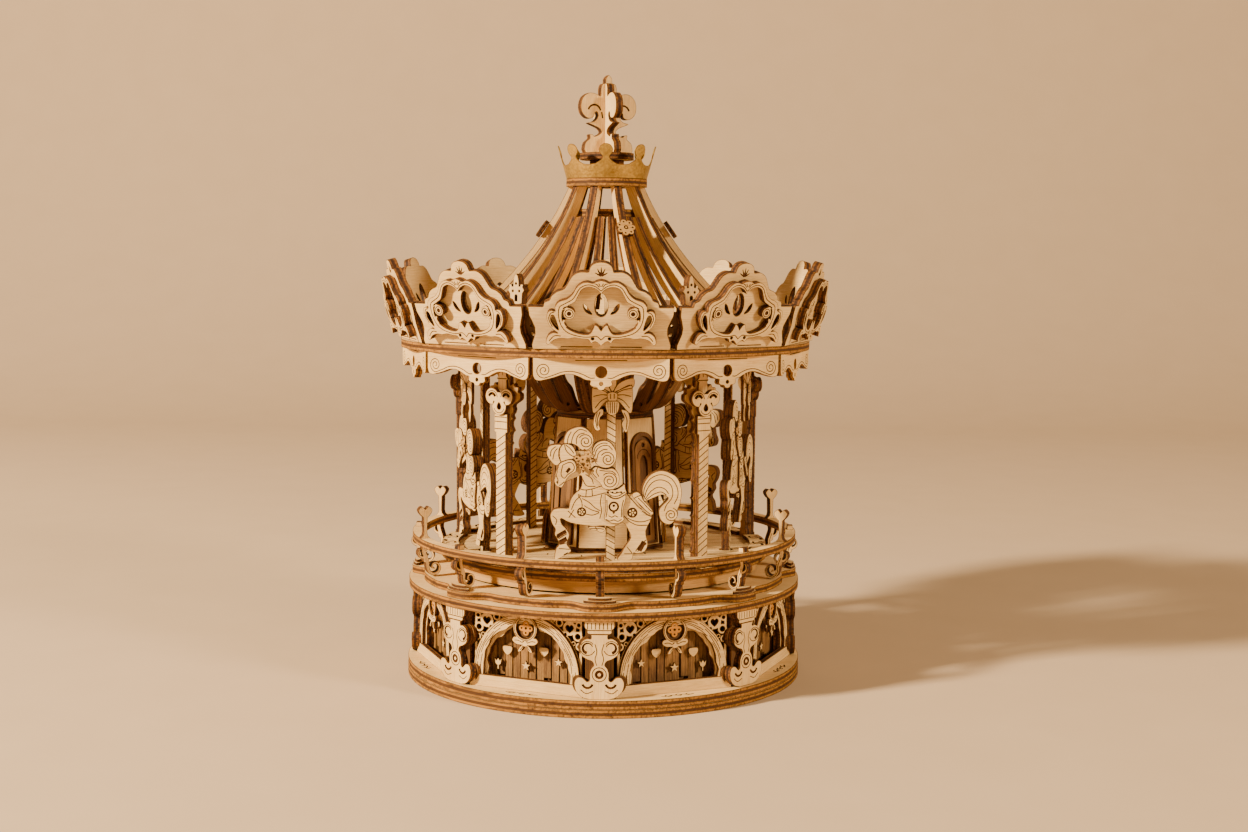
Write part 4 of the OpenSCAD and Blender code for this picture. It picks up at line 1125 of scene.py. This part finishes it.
loop = smooth([(0.2, 112.9), (3, 114.8), (6.8, 116.2), (7.4, 112), (7, 106.6), (5.4, 106.8),
               (3, 109.6), (0.4, 111.4)], True)
crown_loop = smooth([(0.2, 113), (2.4, 117), (7.4, 118.8), (7.6, 115.6), (4, 114.6)], True)
left_tail = smooth([(-3.4, 107.6), (-5.2, 107.2), (-6.5, 104.8), (-6.7, 101.6), (-5.7, 99.9),
                    (-4.3, 100.3), (-4.8, 102.4), (-4.3, 104.6), (-3.2, 105.8)], True)
right_tail = smooth([(3.2, 107.4), (5.6, 106.6), (6.4, 103.2), (5.0, 99.2), (3.4, 102.2),
                     (4.3, 104.6)], True)
ruffle = smooth([(-2.4, 110), (0, 111), (2.4, 110), (1.9, 106.6), (0, 105.4), (-1.9, 106.6)], True)
wings = marks(FACE, box(-1.5, 112, 1.5, canopy_z)) + both(marks(FACE, loop,
        crown_loop)) + marks(FACE, left_tail, right_tail)
wings += both(lines(0.32, loop + loop[:1], crown_loop + crown_loop[:1],
                    smooth([(1.2, 112.6), (4, 112.8), (6.8, 112.2)]),
                    smooth([(1.4, 114), (4.4, 115.4), (7, 116.4)]),
                    smooth([(1.2, 112), (4, 110.6), (6.2, 108)])))
wings += curves([(-5.4, 106.4), (-5.9, 103.6), (-5.3, 100.6)],
                [(-4.4, 106.6), (-5.3, 104), (-5.2, 101.6)],
                [(4.2, 106.4), (5.3, 103.8), (5, 100.2)])
knot = marks(FACE, smooth([(-1.7, 113.4), (0, 113.9), (1.7, 113.4), (1.9, 112), (1.5, 110.8),
                           (0, 110.5), (-1.5, 110.8), (-1.9, 112)], True), ruffle)
knot += lines(0.32, *[[(x, 106.2), (x * 1.1, 110.2)] for x in (-1.5, -0.75, 0, 0.75, 1.5)],
              [(-1.6, 110.6), (1.6, 110.6)], [(-0.7, 111.4), (-0.7, 113.2)],
              [(0.6, 111.4), (0.6, 113.2)])
bows = Piece("ribbon_bows").lay(Sheet(wings, 1.2, LACE), facing(0, 55.2)).lay(Sheet(knot, 0.8,
        LACE), facing(0, 56.4))
bows.done("rotor", "thin_plywood", "pole_bows", copies=5, first=horse_turn)

# ---- Canopy ----------------------------------------------------------------------
# A wide ring carries ten boards that lean outwards, each with a lobed crest and
# a carved cartouche frame in front of it, and ten scalloped valances below.

canopy_r, crest_r, crest_lean = 79.1, 77.0, 16.0
roof_z = canopy_z + ply
ring = marks(FACE, circle(0, 0, canopy_r, 240)) + marks(GAP, circle(0, 0, 28, 100), *slots)
Piece("canopy_plate").lay(Sheet(ring, ply), lying(canopy_z)).done("rotor", "plywood", "canopy_ring")


def leaning(turn, proud):
    m = facing(turn, crest_r - ply, roof_z + 0.9, crest_lean)
    m[:3, 3] += m[:3, 2] * proud
    return m


board_foot = [(0, 0), (23.7, 0), (23.9, 1.6), (23.3, 3.6), (22.7, 5.6), (22.8, 7.8), (23.6, 9.8),
              (24.7, 12.2), (25, 15.2), (20.1, 15.2)]
board_crest = smooth([(19.8, 15.3), (19.4, 16.8), (17.7, 17.6), (16.9, 19.2), (15.0, 20.7),
                      (12.7, 21.6), (11.4, 23.6), (9.8, 26.2), (7.4, 27.6), (4.5, 27.6)],
                     n=4) + smooth([(4.2, 27.7), (3.6, 29.6), (2.1, 30.8), (0, 31.2)], n=4)
egg = [(2.3 * math.cos(a) * (1 - 0.12 * math.sin(a)), 16.0 + 4.2 * math.sin(a))
       for a in np.radians(turns(26))]
moon = smooth([(3.2, 12.7), (4.8, 13.2), (5.9, 14.6), (6.1, 16.4), (5.0, 15.6), (4.2, 14.2)], True)
crest = marks(FACE, twice(board_foot + board_crest)) + marks(GAP, egg) + both(marks(GAP, moon))
crest += both(lines(0.4, [(3, 0.9), (14, 0.9)]))
palmette = [stroke(smooth([(0, 26.4), (1.2 * math.cos(a), 26.4 + 1.4 * math.sin(a)),
                           (2.3 * math.cos(a), 26.4 + 3 * math.sin(a))]), 0.9, True)
            for a in np.radians((20, 55, 90, 125, 160))]
crest += marks(HOLLOW, *palmette)
Piece("crest_fronts").lay(Sheet(crest, ply, LACE), leaning(0, 0)).done("rotor", "plywood",
        "crest_boards", copies=10)

frame_out = smooth([(0, 25.6), (1.6, 25.2), (2.8, 24.6), (4.6, 25.0), (6.5, 24.6), (8.4, 23.0),
                    (9.6, 20.8), (11.6, 19), (14.3, 18), (15.7, 16.2), (15.6, 14.6), (16.9, 14.9),
                    (18.2, 14.2), (18.5, 11.8), (17.2, 8.8), (14.6, 6.8), (16.4, 7.0), (18.2, 5.8),
                    (18.9, 3.4), (17.9, 2.6), (16.4, 4.2), (13.8, 5.0), (11.4, 4.8), (9, 5.2),
                    (6.6, 4.8), (4.4, 4.6), (3.4, 3.2), (2.3, 3.9), (1.2, 3.4), (0, 2.2)], n=3)
frame_in = smooth([(0, 20.9), (1.4, 22.4), (3.9, 23.3), (6.4, 22.5), (7.7, 20.3), (8.9, 18.0),
                   (11.3, 16.6), (13, 15.3), (13.4, 12.2), (12.5, 9.6), (10.2, 7.7), (6.9, 6.5),
                   (4.1, 6.5), (2.8, 8.2), (2.2, 9.7), (1.1, 9.3), (0, 7.6)], n=3)
side_gap = smooth([(15.9, 12.8), (16.9, 13.2), (17.2, 11.4), (16, 9.2), (14.5, 7.9), (14.9, 10)],
                  True)
cartouche = marks(FACE, twice(frame_out)) + marks(GAP, twice(frame_in)) + both(marks(GAP, side_gap,
        circle(2.9, 4.9, 0.55, 10)))
cartouche += both(marks(FACE, circle(10.9, 13.8, 2.0, 24),
                        stroke(smooth([(10.9, 15.2), (12.4, 15.8), (13.8, 15.4)]), 1.2),
                        stroke(smooth([(12, 8.8), (12.9, 10.2), (12.6, 11.6)]), 0.9)))
# The burnt crescent over each rosette is painted shade for the shadowed gap above the rosette.
cartouche += both(marks(HOLLOW, circle(10.9, 13.8, 0.8, 14),
                        stroke(arc(10.9, 13.8, 2.6, 40, 150, 12), 0.6, True)))
cartouche += both(lines(0.34, arc(10.9, 13.8, 1.4, 0, 360, 22),
                        smooth([(0, 21.9), (1.8, 23.4), (4.4, 24.1), (7, 23), (8.5, 20.6),
                                (9.8, 18.8), (12.2, 17.4), (14.2, 16), (14.4, 12.4), (13.3, 9),
                                (11, 6.8), (7, 5.6), (4, 5.5), (1.6, 5.8), (0, 4.4)], n=3),
                        smooth([(15.8, 14.4), (17.2, 13.8), (17.8, 11.8), (16.6, 9)]),
                        smooth([(13.8, 5.8), (16, 5.8), (17.8, 4)]),
                        smooth([(0.6, 23.2), (1.5, 24.3), (2.2, 24.4)]),
                        smooth([(0.2, 23.4), (0.8, 24.6)])))
Piece("cartouches").lay(Sheet(cartouche, 2.6, LACE), leaning(0, ply + 0.4)).done(
    "rotor", "plywood", "crest_cartouches", copies=10)

post_edge = twice([(0, 0.7), (1.8, 0.7), (2.3, 3), (3.2, 6), (3.1, 8.4), (2.2, 11), (2.4, 13.7),
                   (0, 13.7)])
corner = marks(FACE, post_edge) + marks(GAP, circle(0, 5.4, 0.8, 12), circle(0, 8.8, 0.6, 10))
posts = Piece("corner_strips").lay(Sheet(corner, 1.4, SMOKE, grain=90),
                                   facing(0, crest_r - 2.2, roof_z, crest_lean))
posts.done("rotor", "thin_plywood", "corner_posts", copies=10, first=18)

castle = [(0, roof_z), (1.6, roof_z), (1.6, 144.6), (2.6, 144.8), (2.9, 148.4), (3.8, 149.6),
          (3.0, 150.8), (3.4, 151.6), (2.2, 151.8), (1.9, 150.9), (1.3, 151.0), (1.2, 153.2),
          (0.8, 154.8), (0, 155.6)]
turret = marks(FACE, twice(castle)) + marks(GAP, arch_door(0.6, 145.6, 147.4),
                                            circle(0, 152, 0.4, 8)) + both(marks(GAP,
        circle(1.5, 149.3, 0.4, 8)))
castles = Piece("castle_finials").lay(Sheet(turret, 1.6, LACE, grain=90), facing(0, 52.6),
                                      backwards(0, 52.6, 0))
castles.done("rotor", "plywood", "column_finials", copies=5, first=36)

valance_half = [(0, canopy_z), (23.7, canopy_z), (23.7, 121.4)] + smooth(
    [(23.6, 120.8), (22.9, 119.5), (21.4, 119.1), (19.6, 119.4), (16.2, 120.3), (13.5, 121.2),
     (10.4, 121.4), (7.7, 120.6), (5.4, 119.5), (3.7, 119.2), (3.9, 118.0), (3.0, 117.2),
     (1.6, 117.0), (1.0, 116.2), (0, 115.9)], n=4)
valance = marks(FACE, twice(valance_half)) + marks(GAP, circle(0, 122.2, 2.0, 24),
                                                   circle(0, 118.2, 0.62, 12))
valance += both(lines(0.32, coil(19.9, 122.7, 2.7, 0.4, 265, 2.0, 36),
                      smooth([(19.7, 120.0), (16.4, 121.1), (13.4, 122.2), (10, 122.4),
                              (6.6, 121.5), (3.9, 120.2), (2.2, 120.2)])))
valance += lines(0.3, [(-9, 126.3), (9, 126.3)])
Piece("valance_boards").lay(Sheet(valance, ply - 0.4, BIRCH), facing(0, crest_r - 4)).done(
    "rotor", "plywood", "valances", copies=10)

# ---- Roof ------------------------------------------------------------------------
# Ten concave ribs rise from the canopy to the crown ring, with two shorter ribs
# in each bay that end at a small middle ring. Small flowers are pinned on them.

crown_z, mid_z = 188.6, 177.0


def pulled(a, b, c, n=24, until=1.0):
    return [tuple((1 - t) ** 2 * np.array(a) + 2 * t * (1 - t) * np.array(b) + t * t * np.array(c))
            for t in np.linspace(0, until, n)]


def trimmed(path, top):
    """The part of a falling path below a height."""
    kept = [q for q in path if q[1] < top]
    before = path[len(path) - len(kept) - 1]
    t = (before[1] - top) / (before[1] - kept[0][1])
    return [(before[0] + (kept[0][0] - before[0]) * t, top)] + kept


rib_out = pulled((14.6, crown_z), (28, 158), (64, roof_z))
rib_in = pulled((10, crown_z), (22.5, 153), (57, roof_z))
roof = Piece("roof_frames")
roof.lay(Sheet(marks(FACE, rib_out + rib_in[::-1]), ply, LACE, grain=120), spoke(0, ply))
roof.done("rotor", "plywood", "roof_ribs", copies=10, first=18)
short_out = pulled((12.6, crown_z), (25.5, 157), (62, roof_z))
short_in = pulled((9.4, crown_z), (22, 154), (58, roof_z))
short_rib = marks(FACE, trimmed(short_out, mid_z) + trimmed(short_in, mid_z)[::-1]) + marks(GAP,
        box(30, roof_z - 1, 51, 139.8))
short_frames = Piece("short_frames").lay(Sheet(short_rib, 2.4, LACE, grain=120), spoke(-6, 2.4),
                                         spoke(6, 2.4))
short_frames.done("rotor", "plywood", "roof_short_ribs", copies=10)
mid = Sheet(marks(FACE, circle(0, 0, 13, 70)) + marks(GAP, circle(0, 0, 9.6, 60)), ply)
Piece("middle_ring").lay(mid, lying(mid_z)).done("rotor", "plywood", "roof_mid_ring")

petal_ring = [circle(2.5 * math.cos(a), 2.5 * math.sin(a), 1.25, 14) for a in np.radians(turns(7))]
bloom = marks(FACE, circle(0, 0, 2.2, 20), *petal_ring) + marks(HOLLOW,
        *[circle(2.6 * math.cos(a), 2.6 * math.sin(a), 0.4, 8) for a in np.radians(turns(7))])
bloom += marks(HOLLOW, circle(0, 0, 0.9, 14)) + marks(FACE, circle(0, 0, 0.4, 10))
pins = Piece("rib_flowers")
pins.lay(Sheet(bloom, 1.6, TOAST), *[facing(t, 24.1, 172, -35) for t in (-90, 18, 90, 162, -162)])
pins.done("rotor", "thin_plywood", "roof_flowers")

# ---- Crown -----------------------------------------------------------------------
# A ring caps the ribs. A strip of gilt card flares out of it in eight
# round-headed points, around a stack of two small discs.

crown_ring = Sheet(marks(FACE, circle(0, 0, 15.6, 120)) + marks(GAP, circle(0, 0, 7, 50)), ply)
Piece("crown_plate").lay(crown_ring, lying(crown_z)).done("rotor", "plywood", "crown_ring")
band_z, foot_r, flare = crown_z + ply, 15.0, 0.27


def gilt():
    f = Finish("gilt card", Metallic=0.9, Roughness=0.42)
    where = f.node("ShaderNodeTexCoord", out=3)
    grit = f.stretched(where, (900, 900, 900), 4.0)
    cloud = f.stretched(where, (160, 160, 160), 2.0)
    f.give("Base Color", f.blend(cloud + (grit - 0.5) * 1.6, (0.66, 0.44, 0.11, 1),
                                 (0.30, 0.17, 0.03, 1)))
    f.give("Roughness", 0.3 + grit * 0.35)
    f.dent(grit, 0.00016)
    return f.material


gilt_card = gilt()
pitch = 2 * math.pi * foot_r / 8
points = [(-4 * pitch, 0), (4 * pitch, 0)]
for i in range(3, -5, -1):
    m = (i + 0.5) * pitch
    points += [(m + x, y) for x, y in smooth([(pitch / 2, 5.2), (3.6, 5.5), (1.6, 7.0), (1.1, 8.2),
                                              (1.9, 9.4), (2.2, 10.9), (1.4, 12.6), (0, 13.2),
                                              (-1.4, 12.6), (-2.2, 10.9), (-1.9, 9.4), (-1.1, 8.2),
                                              (-1.6, 7.0), (-3.6, 5.5)], n=3)]
strip = Sheet(marks(FACE, points), 0.5, (gilt_card, gilt_card, gilt_card),
              guides=[[(x, -0.5), (x, 14)] for x in np.linspace(-4, 4, 97) * pitch])


def flared(x, y, z):
    a, r = x / foot_r, foot_r + y * flare + z
    return r * np.sin(a), -r * np.cos(a), band_z + y * 0.965


Piece("gilt_crown").lay(strip.warped(flared), lying(0, 22.5)).done("rotor", "gilded_band",
        "crown_band")
hub = Piece("crown_hub")
hub.lay(Sheet(marks(FACE, circle(0, 0, 6.6, 50)), 7.4, TOAST), lying(band_z))
hub.lay(Sheet(marks(FACE, circle(0, 0, 10.4, 70)), 2.6, LACE), lying(band_z + 7.4))
hub.done("rotor", "plywood", "crown_disc")

# ---- Finial ----------------------------------------------------------------------
# Two lily-shaped plates are half-lapped across each other and stand in the disc.

finial_z, finial_turn = band_z + 7.4 + 2.6, 25
lily_half = [(0, 0), (9.6, 0)] + smooth([(10.2, 1.2), (9.6, 3.8), (7.8, 5.4), (7.9, 6.9),
                                         (6.7, 6.9), (5.8, 6.2), (3.6, 7.2), (3.0, 8.2), (4.4, 9.6),
                                         (8.4, 11.2), (6.6, 11.7), (5.2, 12.6), (4.4, 14.2),
                                         (5.0, 15.6), (5.9, 15.0), (6.1, 13.8), (7.4, 13.0),
                                         (9.4, 13.3), (11.2, 15.2), (11.6, 18.2), (10.6, 21),
                                         (8.2, 22.6), (5.4, 22.4), (3.4, 21.6), (3.3, 24.4),
                                         (2.6, 26.2), (1.4, 26.6), (1.2, 28.4), (0, 29.7)], n=3)
lily = marks(FACE, twice(lily_half)) + both(marks(HOLLOW, stroke(arc(6.0, 15.6, 2.6, 15, 170, 14),
        0.75), stroke([(2.5, 13.2), (3, 15.6)], 0.6)))
low_lap, high_lap = box(-1.5, -1, 1.5, 14.8), box(-1.5, 14.8, 1.5, 31)
tall = Sheet(lily + marks(GAP, low_lap), ply, LACE, grain=90)
cross = Sheet(lily + marks(GAP, high_lap), ply, LACE, grain=90)
Piece("lily_front").lay(tall, facing(finial_turn, -ply / 2, finial_z)).done("rotor", "plywood",
        "finial_plate_a")
Piece("lily_cross").lay(cross, facing(finial_turn + 90, -ply / 2, finial_z)).done("rotor",
        "plywood", "finial_plate_b")

# ---- Movement --------------------------------------------------------------------
# The wind-up movement inside the drum is plated steel and turned brass. Only the
# key shows, in the finger recess under the drum.


def metal(name, light, deep, rough):
    f = Finish(name, Metallic=1.0, Roughness=rough)
    where = f.node("ShaderNodeTexCoord", out=3)
    brushed = f.stretched(where, (300, 4000, 300), 3.0)
    cloud = f.stretched(where, (90, 90, 90), 2.0)
    f.give("Base Color", f.blend(cloud, (*light, 1), (*deep, 1)))
    f.give("Roughness", rough - 0.1 + brushed * 0.25)
    f.dent(brushed, 0.00002)
    return f.material


def core_wood():
    f = Finish("track plywood", Roughness=0.7)
    where = f.node("ShaderNodeTexCoord", out=3)
    fibre = f.stretched(where, (120, 2600, 900), 3.0)
    f.give("Base Color", f.blend(fibre, (0.52, 0.34, 0.17, 1), (0.30, 0.17, 0.07, 1)))
    f.dent(fibre, 0.00006)
    return f.material


steel = metal("plated steel", (0.62, 0.61, 0.58), (0.42, 0.41, 0.39), 0.34)
brass = metal("turned brass", (0.80, 0.58, 0.26), (0.55, 0.36, 0.13), 0.3)
dressed = {"bedplate": steel, "comb": steel, "movement_screws": steel, "drive_shaft": steel,
           "shaft_bush": brass, "winding_key": brass, "pin_cylinder": brass, "governor": brass,
           "spring_barrel": brass, "cam_track": core_wood()}
for name, material in dressed.items():
    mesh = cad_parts[name].data
    mesh.materials.clear()
    mesh.materials.append(material)

# ---- Studio ----------------------------------------------------------------------
# A plain pale floor that curves up behind the object, a small warm key light low
# on the left, a larger and dimmer second light on the right, and a pale surround.


def backdrop():
    reach, bend_r = 3.0, 0.6
    profile = [(-reach, 0), (0.9, 0)] + [(0.9 + bend_r * math.sin(a), bend_r * (1 - math.cos(a)))
                                         for a in np.radians(range(10, 91, 10))]
    profile += [(0.9 + bend_r, 3.0)]
    verts = [(x, y, z) for x in (-4, 4) for y, z in profile]
    n = len(profile)
    mesh = bpy.data.meshes.new("floor")
    mesh.from_pydata(verts, [], [(i, i + 1, n + i + 1, n + i) for i in range(n - 1)])
    for face in mesh.polygons:
        face.use_smooth = True
    f = Finish("pale floor", Roughness=0.9)
    where = f.node("ShaderNodeTexCoord", out=3)
    f.give("Base Color", f.blend(f.stretched(where, (30, 30, 30)), (0.60, 0.45, 0.31, 1),
                                 (0.56, 0.415, 0.28, 1)))
    mesh.materials.append(f.material)
    floor = bpy.data.objects.new("floor", mesh)
    scene.collection.objects.link(floor)


def lamp(name, at, aim, size, watts, shade):
    light = bpy.data.objects.new(name, bpy.data.lights.new(name, "AREA"))
    light.data.size, light.data.energy, light.data.color = size, watts, shade
    light.location = at
    light.rotation_euler = (Vector(aim) - Vector(at)).to_track_quat("-Z", "Y").to_euler()
    scene.collection.objects.link(light)


backdrop()
lamp("key", (-1.5, -0.85, 0.95), (0, 0, 0.11), 0.17, 122, (1.0, 0.81, 0.54))
lamp("second", (1.5, -1.0, 0.75), (0, 0, 0.11), 0.3, 36, (1.0, 0.78, 0.50))
world = bpy.data.worlds.new("surround")
world.use_nodes = True
world.node_tree.nodes["Background"].inputs[0].default_value = (0.95, 0.66, 0.38, 1)
world.node_tree.nodes["Background"].inputs[1].default_value = 0.21
scene.world = world
